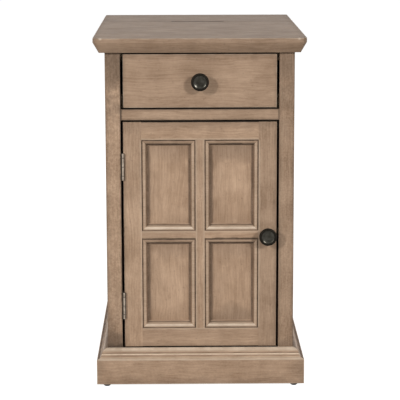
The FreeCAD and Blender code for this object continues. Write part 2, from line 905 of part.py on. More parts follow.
save("top_panel", [top_panel])
save("left_side_panel", [left_side])
save("right_side_panel", [right_side])
save("left_face_stile", [left_stile])
save("right_face_stile", [right_stile])
save("divider_rail", [divider_rail])
save("bottom_rail", [bottom_rail])
save("cupboard_floor", [cupboard_floor])
save("drawer_floor", [drawer_floor])
save("well_partition", [well_partition])
save("rear_top_rail", [rear_top_rail])
save("back_panel", [back_panel])
save("base_front_board", [base_front])
save("base_right_board", [base_right])
save("base_left_board", [mirrored(base_right)])
save("base_back_rail", [base_back_rail])
save("base_cap_front", [cap_front])
save("base_cap_right", [cap_right])
save("base_cap_left", [mirrored(cap_right)])
save("base_corner_blocks", right_blocks + [mirrored(block) for block in right_blocks])
save("foot_glides", glides)
save("shelf", [shelf])
save("shelf_pins", right_pins + left_pins)
save("drawer_guides", [right_guide, mirrored(right_guide)])
save("top_cleats", [right_cleat, mirrored(right_cleat)])
save("top_screws", top_screws)
save("door_hinge_frame_leaves", frame_leaves)
save("door_hinge_pins", door_hinge_pins)
save("cabinet_hinge_screws", all_frame_screws + all_rail_screws)
save("magnetic_catch", [magnetic_catch])
save("lid_hinge_rail_leaves", rail_leaves)
save("lid_hinge_pins", lid_hinge_pins)

save("door_hinge_stile", [door_hinge_stile])
save("door_lock_stile", [door_lock_stile])
save("door_top_rail", [door_top])
save("door_bottom_rail", [door_bottom])
save("door_upright_bar", [door_upright])
save("door_cross_bar", [door_cross])
save("door_panel", [door_panel])
save("door_knob", [knob(lock_x, cross_z, door_knob_screw)])
save("door_knob_screw", [door_knob_screw])
save("door_hinge_door_leaves", door_leaves)
save("door_hinge_screws", all_door_screws)
save("catch_strike", [catch_strike])

save("drawer_front", [drawer_front])
save("drawer_right_side", [right_box_side])
save("drawer_left_side", [left_box_side])
save("drawer_back", [drawer_back])
save("drawer_bottom", [drawer_bottom])
save("drawer_knob", [knob(0, drawer_mid_z, drawer_knob_screw)])
save("drawer_knob_screw", [drawer_knob_screw])

save("lid_panel", [lid_panel])
save("lid_hinge_lid_leaves", lid_leaves)
save("lid_hinge_screws", all_lid_screws)

print("overall width", 2 * max(top_x, base_x))
print("overall depth", front_reach + case_depth + back_reach)
print("overall height", table_top)
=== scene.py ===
# %% [markdown]
# A chairside table, dressed for its picture
# This is a narrow, deep little cabinet of washed wood: a drawer, a door with four moulded fields,
# a skirting base and a top whose rear third lifts. Its boards come ready made and exactly in place,
# so the lesson is about light, camera, finishes and the small turned and repeated pieces.

# %% Load the boards
import json
import math
import bpy
from mathutils import Matrix, Vector


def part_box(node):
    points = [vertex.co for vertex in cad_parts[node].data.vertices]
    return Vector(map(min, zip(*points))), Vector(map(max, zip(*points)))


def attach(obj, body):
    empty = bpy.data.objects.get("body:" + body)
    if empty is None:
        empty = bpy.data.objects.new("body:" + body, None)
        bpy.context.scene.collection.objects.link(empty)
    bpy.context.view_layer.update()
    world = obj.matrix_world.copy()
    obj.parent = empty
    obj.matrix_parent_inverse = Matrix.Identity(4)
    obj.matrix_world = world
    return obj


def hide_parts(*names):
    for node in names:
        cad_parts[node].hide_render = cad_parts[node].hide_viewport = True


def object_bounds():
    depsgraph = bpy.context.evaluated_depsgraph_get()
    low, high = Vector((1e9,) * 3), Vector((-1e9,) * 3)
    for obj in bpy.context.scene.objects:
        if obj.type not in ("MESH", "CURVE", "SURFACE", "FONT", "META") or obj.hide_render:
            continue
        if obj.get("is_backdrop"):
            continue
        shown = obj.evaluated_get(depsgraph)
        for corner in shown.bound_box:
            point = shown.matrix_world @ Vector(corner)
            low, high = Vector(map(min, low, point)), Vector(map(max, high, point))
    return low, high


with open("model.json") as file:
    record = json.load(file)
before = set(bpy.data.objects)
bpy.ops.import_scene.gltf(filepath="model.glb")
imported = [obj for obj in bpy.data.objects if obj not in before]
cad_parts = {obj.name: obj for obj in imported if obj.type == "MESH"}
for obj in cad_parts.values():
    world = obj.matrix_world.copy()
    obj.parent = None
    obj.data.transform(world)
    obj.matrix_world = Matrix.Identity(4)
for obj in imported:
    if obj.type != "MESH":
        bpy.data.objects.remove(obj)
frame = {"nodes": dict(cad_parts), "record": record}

MM = 0.001
scene = bpy.context.scene
nodes = frame["nodes"]
slot_of = {row["node"]: row["material_slot"] for row in frame["record"]["subparts"]}
body_of = {node: body for body, members in frame["record"]["behaviour"]["bodies"].items() for node in members}
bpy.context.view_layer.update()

# %% [markdown]
# The camera
# The photograph was taken from far away with a long lens, a little to the left and above, so the
# sides almost vanish and the top shows as a shallow strip. Guessing such a camera by eye is slow.
# Here its turn and lens were fitted to the corners of the top, door and base, and are set directly.

# %% Camera
IMAGE_PIXELS = 400
FOCAL_PIXELS = 1701.37
SENSOR_MM = 36
CAMERA_PLACE = Vector((-0.03688, -3.44095, 0.92959))
yaw = math.radians(0.6662)
pitch = math.radians(10.2602)
roll = math.radians(-0.1295)

ahead = Vector((math.sin(yaw) * math.cos(pitch), math.cos(yaw) * math.cos(pitch), -math.sin(pitch)))
level_right = Vector((math.cos(yaw), -math.sin(yaw), 0))
level_up = level_right.cross(ahead)
right = math.cos(roll) * level_right + math.sin(roll) * level_up
up = math.cos(roll) * level_up - math.sin(roll) * level_right

camera_data = bpy.data.cameras.new("photo_camera")
camera_data.sensor_width = SENSOR_MM
camera_data.lens = FOCAL_PIXELS / IMAGE_PIXELS * SENSOR_MM
camera = bpy.data.objects.new("photo_camera", camera_data)
turn = Matrix((right, up, -ahead)).transposed()
camera.matrix_world = Matrix.Translation(CAMERA_PLACE) @ turn.to_4x4()
scene.collection.objects.link(camera)
scene.camera = camera
scene.view_settings.view_transform = "Standard"
print("lens in mm:", round(camera_data.lens, 1))

# %% [markdown]
# Helpers for node trees
# Every finish below is a tree of nodes, and so is every repeated fitting. A few helpers keep those
# trees readable: one fills an input with a value or a link, the others add the common nodes.

# %% Node helpers
def fill(tree, socket, value):
    """Links an input to another node's output, or sets it to a value."""
    if isinstance(value, bpy.types.NodeSocket):
        tree.links.new(value, socket)
    else:
        socket.default_value = value


def add(tree, kind, settings=None, **inputs):
    """Adds a node with its settings and its inputs, in whose names an underscore stands for a space."""
    made = tree.nodes.new(kind)
    for name, value in (settings or {}).items():
        setattr(made, name, value)
    for label, value in inputs.items():
        fill(tree, made.inputs[label.replace("_", " ")], value)
    return made


print("node helpers ready")

# %% Arithmetic in a tree
def calc(tree, operation, *values):
    """One step of arithmetic."""
    made = add(tree, "ShaderNodeMath", {"operation": operation})
    for socket, value in zip(made.inputs, values):
        fill(tree, socket, value)
    return made.outputs[0]


def times(tree, product, *factors):
    """Multiplies a value by one or more others."""
    for factor in factors:
        product = calc(tree, "MULTIPLY", product, factor)
    return product


def apart(tree, first, second):
    """How far two values are from each other."""
    return calc(tree, "ABSOLUTE", calc(tree, "SUBTRACT", first, second))


def strongest(tree, masks):
    """Masks laid over each other: at every point the strongest wins."""
    whole = 0.0
    for mask in masks:
        whole = calc(tree, "MAXIMUM", mask, whole)
    return whole


def vector_calc(tree, operation, *values):
    """One step of arithmetic on vectors."""
    made = add(tree, "ShaderNodeVectorMath", {"operation": operation})
    for socket, value in zip(made.inputs, values):
        fill(tree, socket, value)
    return made.outputs[0]


def axes(tree, place):
    """The X, Y and Z of a place."""
    return add(tree, "ShaderNodeSeparateXYZ", Vector=place).outputs


def ease(tree, value, low, high, to_low=0.0, to_high=1.0):
    """Maps one range onto another, softly at both ends."""
    made = add(tree, "ShaderNodeMapRange", {"interpolation_type": "SMOOTHSTEP"})
    for socket, amount in zip(made.inputs, (value, low, high, to_low, to_high)):
        fill(tree, socket, amount)
    return made.outputs[0]


print("arithmetic helpers ready")

# %% Noises, attributes and colours
# Most of a noise lies between these two values
SPREAD = (0.3, 0.7)
# Detail and roughness of a cloudy noise
CLOUDY = (4.0, 0.6)


def noise(tree, place, scale, detail=2.0, roughness=0.5):
    """The value of a noise at a place."""
    made = add(tree, "ShaderNodeTexNoise", Vector=place, Scale=scale, Detail=detail, Roughness=roughness)
    return made.outputs[0]


def attribute(tree, name):
    """A number that the mesh keeps under a name."""
    return add(tree, "ShaderNodeAttribute", {"attribute_name": name}).outputs["Fac"]


def blend(tree, factor, first, second):
    """Mixes two colours: a factor of one gives the second."""
    made = add(tree, "ShaderNodeMix", {"data_type": "RGBA"})
    for number, value in ((0, factor), (6, first), (7, second)):
        fill(tree, made.inputs[number], value)
    return made.outputs[2]


print("noises are read between", *SPREAD)

# %% Shader groups
ORIGIN = (0, 0, 0)


def new_group(name, inputs, outputs):
    """A shader group. Each input comes with the value, a number or a vector, that it starts from."""
    tree = bpy.data.node_groups.new(name, "ShaderNodeTree")
    for label, value in inputs.items():
        kind = "NodeSocketFloat" if isinstance(value, float) else "NodeSocketVector"
        socket = tree.interface.new_socket(name=label, in_out="INPUT", socket_type=kind)
        socket.default_value = value
    for label in outputs:
        kind = "NodeSocketColor" if label == "Color" else "NodeSocketFloat"
        tree.interface.new_socket(name=label, in_out="OUTPUT", socket_type=kind)
    return tree, add(tree, "NodeGroupInput").outputs, add(tree, "NodeGroupOutput").inputs


def use_group(tree, group, **inputs):
    """Places a group in a tree and gives its outputs."""
    return add(tree, "ShaderNodeGroup", {"node_tree": group}, **inputs).outputs


print("group helpers ready")

# %% [markdown]
# The studio
# The table stands on white, with two soft lamps to the left and right of the camera and two weaker
# ones low behind the table. The front pair leaves one soft shadow on each side of a knob. The white
# surround is mostly what the camera, gloss and glass see: it hardly lights the wood, so colours stay
# as written.

# %% World
WHITE = (1, 1, 1, 1)
SURROUND_LIGHT = 0.18


def seen_directly(tree):
    """One for what is seen straight, mirrored or through glass, and nought for light."""
    paths = add(tree, "ShaderNodeLightPath").outputs
    return strongest(tree, [paths[f"Is {ray} Ray"] for ray in ("Camera", "Glossy", "Transmission")])


world = bpy.data.worlds.new("white_studio")
scene.world = world
world.use_nodes = True
sky = world.node_tree
sky.nodes.clear()
dim = add(sky, "ShaderNodeBackground", Color=WHITE, Strength=SURROUND_LIGHT)
white = add(sky, "ShaderNodeBackground", Color=WHITE, Strength=1.0)
both = add(sky, "ShaderNodeMixShader", Fac=seen_directly(sky))
sky.links.new(dim.outputs[0], both.inputs[1])
sky.links.new(white.outputs[0], both.inputs[2])
add(sky, "ShaderNodeOutputWorld", Surface=both.outputs[0])
print("surround lights with", SURROUND_LIGHT)

# %% Floor
FLOOR_WHITE = 0.92
PAPER_GREY = (0.55, 0.55, 0.55, 1)
FLOOR_REACH = 14.0
corners = [(x * FLOOR_REACH, y * FLOOR_REACH, 0) for x, y in ((-1, -1), (1, -1), (1, 1), (-1, 1))]
floor_mesh = bpy.data.meshes.new("studio_floor")
floor_mesh.from_pydata(corners, [], [(0, 1, 2, 3)])
floor = bpy.data.objects.new("studio_floor", floor_mesh)
scene.collection.objects.link(floor)
floor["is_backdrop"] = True

paper = bpy.data.materials.new("studio_paper")
paper.use_nodes = True
sheet = paper.node_tree
sheet.nodes.clear()
matt = add(sheet, "ShaderNodeBsdfDiffuse", Color=PAPER_GREY)
glow = add(sheet, "ShaderNodeEmission", Color=WHITE, Strength=times(sheet, seen_directly(sheet), FLOOR_WHITE))
paper_sum = add(sheet, "ShaderNodeAddShader")
sheet.links.new(matt.outputs[0], paper_sum.inputs[0])
sheet.links.new(glow.outputs[0], paper_sum.inputs[1])
add(sheet, "ShaderNodeOutputMaterial", Surface=paper_sum.outputs[0])
floor_mesh.materials.append(paper)
print("floor reaches", FLOOR_REACH, "m each way")

# %% Lamps
LAMP_AIM = Vector((0, -0.28, 0.35))
# Azimuth and elevation in degrees, distance and width in metres, watts
LAMPS = {
    "left_lamp": (-35, 20, 6.0, 0.8, 156),
    "right_lamp": (28, 20, 6.0, 0.8, 152),
    "rear_left_lamp": (-140, 6, 5.0, 1.6, 62),
    "rear_right_lamp": (140, 6, 5.0, 1.6, 62),
}


def soft_lamp(name, azimuth, elevation, distance, width, watts):
    """A round area lamp that faces the table from a direction."""
    data = bpy.data.lights.new(name, "AREA")
    data.shape = "DISK"
    data.size = width
    data.energy = watts
    lamp = bpy.data.objects.new(name, data)
    a = math.radians(azimuth)
    e = math.radians(elevation)
    toward = Vector((math.sin(a) * math.cos(e), -math.cos(a) * math.cos(e), math.sin(e)))
    lamp.location = LAMP_AIM + toward * distance
    lamp.rotation_euler = (-toward).to_track_quat("-Z", "Y").to_euler()
    scene.collection.objects.link(lamp)


for name, row in LAMPS.items():
    soft_lamp(name, *row)
print("lamps:", list(LAMPS))

# %% [markdown]
# The washed wood, part one: figure
# The boards are close-grained hardwood. Up close there are fine pores, then short streaks a few
# centimetres long, then broad soft bands and clouds where the stain took unevenly. Each is a noise,
# most of them stretched along the grain. As a group, every board reads the same figure with its own
# seed, so no two boards repeat.

# %% Group: wood figure, with the grain along X
SEED_STEPS = (0.37, 0.71, 1.13)
SWAY_SCALE = 7.0
SWAY = (0.0, 0.022, 0.022)
# Repeats per metre, along and across the grain
STREAKS = (15, 400)
BANDS = (3, 48)
PORES = (70, 1500)
# Repeats per metre of what has no direction
CLOUDS = 16.0
GRIT = 260.0
FLECKS = 75.0
# Values between which a pore and a fleck set in
PORE_SPAN = (0.56, 0.7)
FLECK_SPAN = (0.16, 0.05)


def stretched(tree, place, along, across):
    """Scales a place so that a pattern is drawn out along X."""
    return vector_calc(tree, "MULTIPLY", place, (along, across, across))


def wood_figure():
    """What the wood itself shows before any finish."""
    labels = ("Streak", "Band", "Cloud", "Grit", "Pore", "Fleck")
    tree, given, result = new_group("wood_figure", {"Place": ORIGIN, "Seed": 0.0}, labels)
    shift = add(tree, "ShaderNodeCombineXYZ")
    for socket, step in zip(shift.inputs, SEED_STEPS):
        fill(tree, socket, times(tree, given["Seed"], step))
    moved = vector_calc(tree, "ADD", given["Place"], shift.outputs[0])
    wander = add(tree, "ShaderNodeTexNoise", Vector=moved, Scale=SWAY_SCALE, Detail=2.0).outputs["Color"]
    sway = vector_calc(tree, "SUBTRACT", wander, (0.5, 0.5, 0.5))
    bent = vector_calc(tree, "ADD", moved, vector_calc(tree, "MULTIPLY", sway, SWAY))
    noises = {
        "Streak": noise(tree, stretched(tree, bent, *STREAKS), 1.0, 3.0, 0.6),
        "Band": noise(tree, stretched(tree, bent, *BANDS), 1.0),
        "Cloud": noise(tree, moved, CLOUDS, *CLOUDY),
        "Grit": noise(tree, moved, GRIT, 3.0, 0.6),
    }
    for label, value in noises.items():
        fill(tree, result[label], ease(tree, value, *SPREAD))
    pores = noise(tree, stretched(tree, bent, *PORES), 1.0, 2.0, 0.6)
    fill(tree, result["Pore"], ease(tree, pores, *PORE_SPAN))
    specks = add(tree, "ShaderNodeTexVoronoi", Vector=moved, Scale=FLECKS, Randomness=1.0)
    fill(tree, result["Fleck"], ease(tree, specks.outputs["Distance"], *FLECK_SPAN))
    return tree


figure_group = wood_figure()
print("group:", figure_group.name)

# %% [markdown]
# The washed wood, part two: glaze and rub
# A dark glaze was wiped over the stain. It stays in corners and along edges, and it is rubbed
# off the arrises, which show paler. Both follow the distance to the nearest edge of a board, and
# that is easy to work out when the board's own box is known. The same masks also paint shade in
# gaps, hollows and under overhangs, and a highlight along the arrises. The glaze is broken up with a noise.

# %% Group: how far a point of a board is from its nearest arris
def board_edges():
    """The second smallest of the three distances to the box: the smallest is to the face itself."""
    tree, given, result = new_group(
        "board_edges", {"Place": ORIGIN, "Centre": ORIGIN, "Half": (1, 1, 1)}, ("Arris",),
    )
    offset = vector_calc(tree, "SUBTRACT", given["Place"], given["Centre"])
    offset = vector_calc(tree, "ABSOLUTE", offset)
    x, y, z = axes(tree, vector_calc(tree, "SUBTRACT", given["Half"], offset))
    less = calc(tree, "MINIMUM", x, y)
    more = calc(tree, "MAXIMUM", x, y)
    fill(tree, result["Arris"], calc(tree, "MAXIMUM", less, calc(tree, "MINIMUM", more, z)))
    return tree


edge_group = board_edges()
print("group:", edge_group.name)

# %% Group: glaze, painted shade and rub near an edge, with a ragged border
def ragged_fade():
    """Full at the edge and gone at the reach, which a noise makes uneven."""
    tree, given, result = new_group(
        "ragged_fade",
        {"Place": ORIGIN, "Distance": 1.0, "Reach": 0.01, "Strength": 0.5, "Grain": 60.0, "Ragged": 0.5},
        ("Mask",),
    )
    patches = noise(tree, given["Place"], given["Grain"], *CLOUDY)
    swing = times(tree, given["Ragged"], ease(tree, patches, *SPREAD, -1.0, 1.0))
    reach = times(tree, given["Reach"], calc(tree, "ADD", swing, 1.0))
    near = ease(tree, given["Distance"], reach, 0.0)
    fill(tree, result["Mask"], times(tree, near, given["Strength"]))
    return tree


fade_group = ragged_fade()


def fade(tree, place, distance, reach, strength, grain, ragged=0.5):
    """Places the ragged glaze in a tree."""
    mask = use_group(
        tree, fade_group, Place=place, Distance=distance, Reach=reach, Strength=strength,
        Grain=grain, Ragged=ragged,
    )
    return mask[0]


print("group:", fade_group.name)

# %% Group: a band along a moulding, at one level
def level_band():
    """Full at one level, fading out on both sides of it."""
    tree, given, result = new_group(
        "level_band", {"Value": 0.0, "Level": 0.0, "Reach": 0.001, "Strength": 1.0}, ("Mask",),
    )
    near = ease(tree, apart(tree, given["Value"], given["Level"]), given["Reach"], 0.0)
    fill(tree, result["Mask"], times(tree, near, given["Strength"]))
    return tree


band_group = level_band()


def band(tree, value, level, reach, strength=1.0):
    """Places the level band in a tree."""
    return use_group(tree, band_group, Value=value, Level=level, Reach=reach, Strength=strength)[0]


print("group:", band_group.name)

# %% [markdown]
# The washed wood, part three: colour
# Stain, figure, glaze and rub meet in one group that gives colour, roughness and height. The glaze also
# carries painted shade, the rub carries painted light, and the gaps get a painted black shade. The shader
# itself stays in each material. Keeping the mixture in one place means that the tone of the whole
# table is tuned once, and a board only says how dark it is.

# %% Group: the washed finish
STAIN_DARK = (0.250, 0.157, 0.095, 1)
STAIN_LIGHT = (0.450, 0.306, 0.204, 1)
# Glaze, which also serves as painted shade in gaps, hollows, recesses and under overhangs
GLAZE_AND_SHADE = (0.042, 0.027, 0.018, 1)
# Rubbed wood, which also serves as painted light on upward faces and as a painted highlight on arrises
RUB_AND_LIGHT = (0.800, 0.655, 0.505, 1)
# Painted shade: near black, on the edges inside the narrow gaps
GAP_SHADE_BLACK = (0.005, 0.004, 0.003, 1)
STAIN_SHARES = {"Streak": 0.38, "Band": 0.16, "Cloud": 0.46}
RELIEF_SHARES = {"Streak": 0.35, "Pore": -0.45, "Fleck": -0.6}
SPECK_GLAZE = 0.18
WOOD_DULL = 0.68
WOOD_SHINY = 0.56
GLAZE_DULL = 0.2


def washed_finish():
    """Stain with pores and flecks, and over it rub with painted light, glaze with painted shade, and painted
    black shade in the gaps.
    """
    tree, given, result = new_group(
        "washed_finish",
        {"Place": ORIGIN, "Seed": 0.0, "Tone": 1.0, "Mottle": 0.0, "Figure": 1.0, "Polish": 0.0,
         "Glaze": 0.0, "Rub": 0.0, "GapShade": 0.0},
        ("Color", "Roughness", "Height"),
    )
    figure = use_group(tree, figure_group, Place=given["Place"], Seed=given["Seed"])
    stain = 0.0
    for label, share in STAIN_SHARES.items():
        stain = calc(tree, "ADD", times(tree, figure[label], share), stain)
    contrast = times(tree, calc(tree, "SUBTRACT", stain, 0.5), given["Figure"])
    specks = times(tree, calc(tree, "SUBTRACT", figure["Grit"], 0.5), given["Mottle"])
    stain = calc(tree, "ADD", calc(tree, "ADD", contrast, 0.5), specks)
    toned = add(tree, "ShaderNodeVectorMath", {"operation": "SCALE"}, Scale=given["Tone"])
    fill(tree, toned.inputs[0], blend(tree, stain, STAIN_DARK, STAIN_LIGHT))
    colour = toned.outputs[0]
    for label in ("Pore", "Fleck"):
        colour = blend(tree, times(tree, figure[label], SPECK_GLAZE), colour, GLAZE_AND_SHADE)
    for label, tint in (("Rub", RUB_AND_LIGHT), ("Glaze", GLAZE_AND_SHADE), ("GapShade", GAP_SHADE_BLACK)):
        colour = blend(tree, given[label], colour, tint)
    fill(tree, result["Color"], colour)
    rough = ease(tree, figure["Streak"], 0.0, 1.0, WOOD_DULL, WOOD_SHINY)
    rough = calc(tree, "SUBTRACT", rough, given["Polish"])
    rough = calc(tree, "ADD", rough, times(tree, given["Glaze"], GLAZE_DULL))
    fill(tree, result["Roughness"], rough)
    height = 0.0
    for label, share in RELIEF_SHARES.items():
        height = calc(tree, "ADD", times(tree, figure[label], share), height)
    fill(tree, result["Height"], height)
    return tree


wash_group = washed_finish()
print("group:", wash_group.name)

# %% [markdown]
# Finishing a board
# A board's material turns the object's coordinates so that its grain lies along X, measures how far
# a point is from the edges that matter, and hands glaze and rub to the washed finish. Boards differ:
# both stiles are darker under the top and above the base, glaze with painted shade, and the door is
# dark along its outside and rubbed beside the mouldings. The edges in the narrow gaps between
# drawer, door and frame are painted almost black near the front, as painted shade of the gaps.

# %% Board material
GRAIN_TURN = {"x": (0, 0, 0), "y": (0, 0, -math.pi / 2), "z": (0, math.pi / 2, 0)}
WOOD_SPECULAR = 0.3


def start_material(name):
    """An empty material, its tree and the object's coordinates."""
    material = bpy.data.materials.new(name)
    material.use_nodes = True
    tree = material.node_tree
    tree.nodes.clear()
    return material, tree, add(tree, "ShaderNodeTexCoord").outputs["Object"]


def end_material(tree, colour, roughness, height, bump=0.3, deep=0.4 * MM, **constants):
    """The shader itself, with the height as a bump."""
    shader = add(tree, "ShaderNodeBsdfPrincipled", Base_Color=colour, Roughness=roughness, **constants)
    relief = add(tree, "ShaderNodeBump", Strength=bump, Distance=deep, Height=height)
    tree.links.new(relief.outputs[0], shader.inputs["Normal"])
    add(tree, "ShaderNodeOutputMaterial", Surface=shader.outputs[0])


def grain_place(tree, place, grain):
    """Coordinates turned so that the grain lies along X."""
    return add(tree, "ShaderNodeMapping", Vector=place, Rotation=GRAIN_TURN[grain]).outputs[0]


def washed_material(name, grain, seed, looks, **settings):
    """Each look is a function that makes one mask of the wash from the tree and the object's coordinates."""
    material, tree, place = start_material(name)
    masks = {label: make(tree, place) for label, make in looks.items()}
    turned_place = grain_place(tree, place, grain)
    finish = use_group(tree, wash_group, Place=turned_place, Seed=seed, **masks, **settings)
    end_material(tree, *finish, Specular_IOR_Level=WOOD_SPECULAR)
    return material


def dress(node, material):
    """Gives a board one finish."""
    nodes[node].data.materials.clear()
    nodes[node].data.materials.append(material)


def board_box(node):
    """A board's middle and half its size."""
    low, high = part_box(node)
    return (low + high) / 2, (high - low) / 2


print("grain turns for", sorted(GRAIN_TURN))

# %% Boards: the grain's axis, tone, mottle, then glaze with painted shade, then rub
# For glaze and rub each entry gives the edge it starts from, its reach in millimetres and its strength
DOOR_EDGE = (10, 0.26)
RUB_EDGE = (5, 0.20)
TOP_ENDS = [("left", 14, 0.2), ("right", 14, 0.2)]
# The foot of the base boards is painted shade where they stand over the floor
BASE_ENDS = [("front", 20, 0.2), ("back", 20, 0.2), ("foot", 18, 0.25)]
SIDE_PANEL = ("z", 0.98, 0.2, [("top", 70, 0.24), ("foot", 45, 0.30), ("back", 25, 0.15)], [])
SIDE_BASE = ("y", 0.96, 0.2, BASE_ENDS, [])
# Thin strong glazes, two to five millimetres wide, along edges that meet a gap or a moulding's groove are
# painted shade of that gap or groove
BOARDS = {
    # Where top and lid meet, both edges are painted shade of the seam; the top's foot is its bevel, which
    # faces down and is painted in shade
    "top_panel": ("x", 0.88, 0.1, TOP_ENDS + [("back", 6, 0.6), ("foot", 20, 0.20)], []),
    "lid_panel": ("x", 0.79, 0.1, TOP_ENDS + [("front", 6, 0.6), ("back", 25, 0.25)], []),
    "left_side_panel": SIDE_PANEL,
    "right_side_panel": SIDE_PANEL,
    # The face stiles are glaze with painted shade at their ends, under the top and above the base cap
    "left_face_stile": (
        "z", 1.15, 0.5,
        [("top", 170, 0.62), ("foot", 150, 0.20), ("foot", 74, 0.67), ("foot", 24, 0.92), ("left", 9, 0.40),
         ("right", 2.8, 0.8)], [],
    ),
    "right_face_stile": (
        "z", 0.97, 0.4, [("top", 190, 0.36), ("foot", 22, 0.42), ("left", 7, 0.26), ("right", 7, 0.38)], [],
    ),
    "divider_rail": (
        "x", 1.00, 0.1,
        [("top", 5, 0.2), ("top", 2.4, 0.7), ("foot", 6, 0.25), ("foot", 2.6, 0.7), ("left", 4.5, 0.95),
         ("right", 3.5, 0.8)], [],
    ),
    "bottom_rail": ("x", 0.92, 0.1, [("top", 9, 0.5)], []),
    "rear_top_rail": ("x", 0.95, 0.1, [("foot", 12, 0.3)], []),
    "drawer_front": (
        "x", 1.00, 0.1,
        [("left", 9, 0.2), ("left", 2.6, 0.9), ("right", 9, 0.22), ("top", 14, 0.28), ("top", 2.2, 0.6),
         ("foot", 8, 0.15)], [],
    ),
    "door_hinge_stile": (
        "z", 1.20, 0.2,
        [("left", *DOOR_EDGE), ("left", 2.4, 0.9), ("top", 60, 0.3), ("top", 280, 0.15),
         ("foot", *DOOR_EDGE)], [("right", *RUB_EDGE)],
    ),
    "door_lock_stile": (
        "z", 0.97, 0.2,
        [("right", *DOOR_EDGE), ("top", 20, 0.3), ("foot", *DOOR_EDGE)], [("left", *RUB_EDGE)],
    ),
    "door_top_rail": (
        "x", 1.18, 0.1, [("top", 20, 0.3), ("top", 2.4, 0.8), ("foot", 1.6, 0.5)], [("foot", *RUB_EDGE)],
    ),
    "door_bottom_rail": ("x", 1.07, 0.1, [("foot", *DOOR_EDGE)], [("top", *RUB_EDGE)]),
    "door_upright_bar": ("z", 1.17, 0.2, [("top", 280, 0.12)], [("left", *RUB_EDGE), ("right", *RUB_EDGE)]),
    "door_cross_bar": ("x", 1.24, 0.1, [("foot", 3.4, 0.85), ("left", 170, 0.19)], [("top", *RUB_EDGE)]),
    # The rub on the base board's top arris is partly a painted highlight
    "base_front_board": (
        "x", 1.11, 0.2, [("left", 25, 0.2), ("right", 30, 0.25), ("foot", 18, 0.25)], [("top", 2.2, 0.6)],
    ),
    "base_left_board": SIDE_BASE,
    "base_right_board": SIDE_BASE,
}
print("boards to finish:", len(BOARDS))

# %% Distance to a board's edges
# Axis of each edge, and whether it is at the low or the high end of the box
EDGES = {"left": (0, 0), "right": (0, 1), "front": (1, 0), "back": (1, 1), "foot": (2, 0), "top": (2, 1)}
EDGE_GRAIN = 35.0
FACE_STILES = ("left_face_stile", "right_face_stile")
SIDE_PANELS = ("left_side_panel", "right_side_panel")
STANDING = SIDE_PANELS + FACE_STILES + ("bottom_rail",)
cap_low, cap_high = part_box("base_cap_front")
face_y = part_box("left_face_stile")[0].y
open_x = -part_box("left_face_stile")[1].x


def seen_box(node):
    """A board's box, without the length that the base hides and without tenons."""
    low, high = (Vector(corner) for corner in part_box(node))
    if node in STANDING:
        low.z = max(low.z, cap_high.z)
    if node == "divider_rail":
        low.x = -open_x
        high.x = open_x
    return low, high


def edge_masks(tree, place, node, reaches, ragged):
    """Masks that fade in from a board's edges; ragged is how unevenly they end."""
    box = seen_box(node)
    here = axes(tree, place)
    masks = []
    for edge, reach, strength in reaches:
        axis, end = EDGES[edge]
        away = apart(tree, here[axis], box[end][axis])
        masks.append(fade(tree, place, away, reach * MM, strength, EDGE_GRAIN, ragged))
    return masks


def arris_mask(tree, place, node, reach, strength, grain):
    """A mask along all arrises of a board."""
    centre, half = board_box(node)
    arris = use_group(tree, edge_group, Place=place, Centre=centre, Half=half)[0]
    return fade(tree, place, arris, reach * MM, strength, grain)


def behind_face(tree, depth, start, stop, to_start=0.0, to_stop=1.0):
    """Eases from one level to another behind the face of the cabinet, both in millimetres."""
    return ease(tree, depth, face_y + start * MM, face_y + stop * MM, to_start, to_stop)


print("face at", round(face_y / MM, 1), "mm, opening", round(2 * open_x / MM, 1), "mm wide")

# %% Painted shade in the gaps between drawer, door and frame
FOOT_GAP = 0.87
EDGE_GAP = 0.30
# Depths behind the face, in millimetres, between which the painted black shade of the gaps fades, starts and
# stops
BLACK_FADES = (8, 3)
BLACK_STARTS = (0.05, 0.35)
BLACK_STOPS = (19, 15)
DOOR_STILES = ("door_hinge_stile", "door_lock_stile")
FRAME = FACE_STILES + ("divider_rail", "bottom_rail")
DOOR_FRAME = DOOR_STILES + ("door_top_rail", "door_bottom_rail")
GAP_BOARDS = FRAME + DOOR_FRAME + ("drawer_front",)
JOINED = FRAME + DOOR_FRAME + ("door_upright_bar", "door_cross_bar")


def gap_shade_mask(tree, place, node):
    """Painted shade on edges that face a gap: just behind the face, inside the frame, blackest in front."""
    x, y = axes(tree, place)[:2]
    black = FOOT_GAP if node == "bottom_rail" else 1.0
    strength = behind_face(tree, y, *BLACK_FADES, EDGE_GAP, black)
    behind = behind_face(tree, y, *BLACK_STARTS)
    shallow = behind_face(tree, y, *BLACK_STOPS)
    inside = ease(tree, calc(tree, "ABSOLUTE", x), open_x + 3 * MM, open_x + 1 * MM)
    return times(tree, behind, shallow, inside, strength)


print("boards beside a gap:", len(GAP_BOARDS))

# %% Painted shade in the slot of the lid, pale corners of the top, and the stretch of the stiles beside the fields
SLOT_HALF = 52.5 * MM
SLOT_DEEP = 7.0 * MM
# Strength of the painted shade in the slot
SLOT_SHADE = 0.95
CORNER_IN = Vector((15, 2, 0)) * MM
CORNER_REACH = 5 * MM
# Strength of the pale spots: rub and painted highlight
CORNER_RUB_AND_HIGHLIGHT = 0.9
slot_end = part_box("lid_panel")[0].y + SLOT_DEEP
top_low, top_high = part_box("top_panel")
first_low, first_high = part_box("lower_left_moulding")
last_low, last_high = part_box("upper_right_moulding")


def slot_mask(tree, place):
    """Painted shade in the slot of the lid."""
    x, y = axes(tree, place)[:2]
    beside = ease(tree, calc(tree, "ABSOLUTE", x), SLOT_HALF + 3 * MM, SLOT_HALF + 1 * MM)
    near = ease(tree, y, slot_end + 3.5 * MM, slot_end + 1 * MM)
    return times(tree, beside, near, SLOT_SHADE)


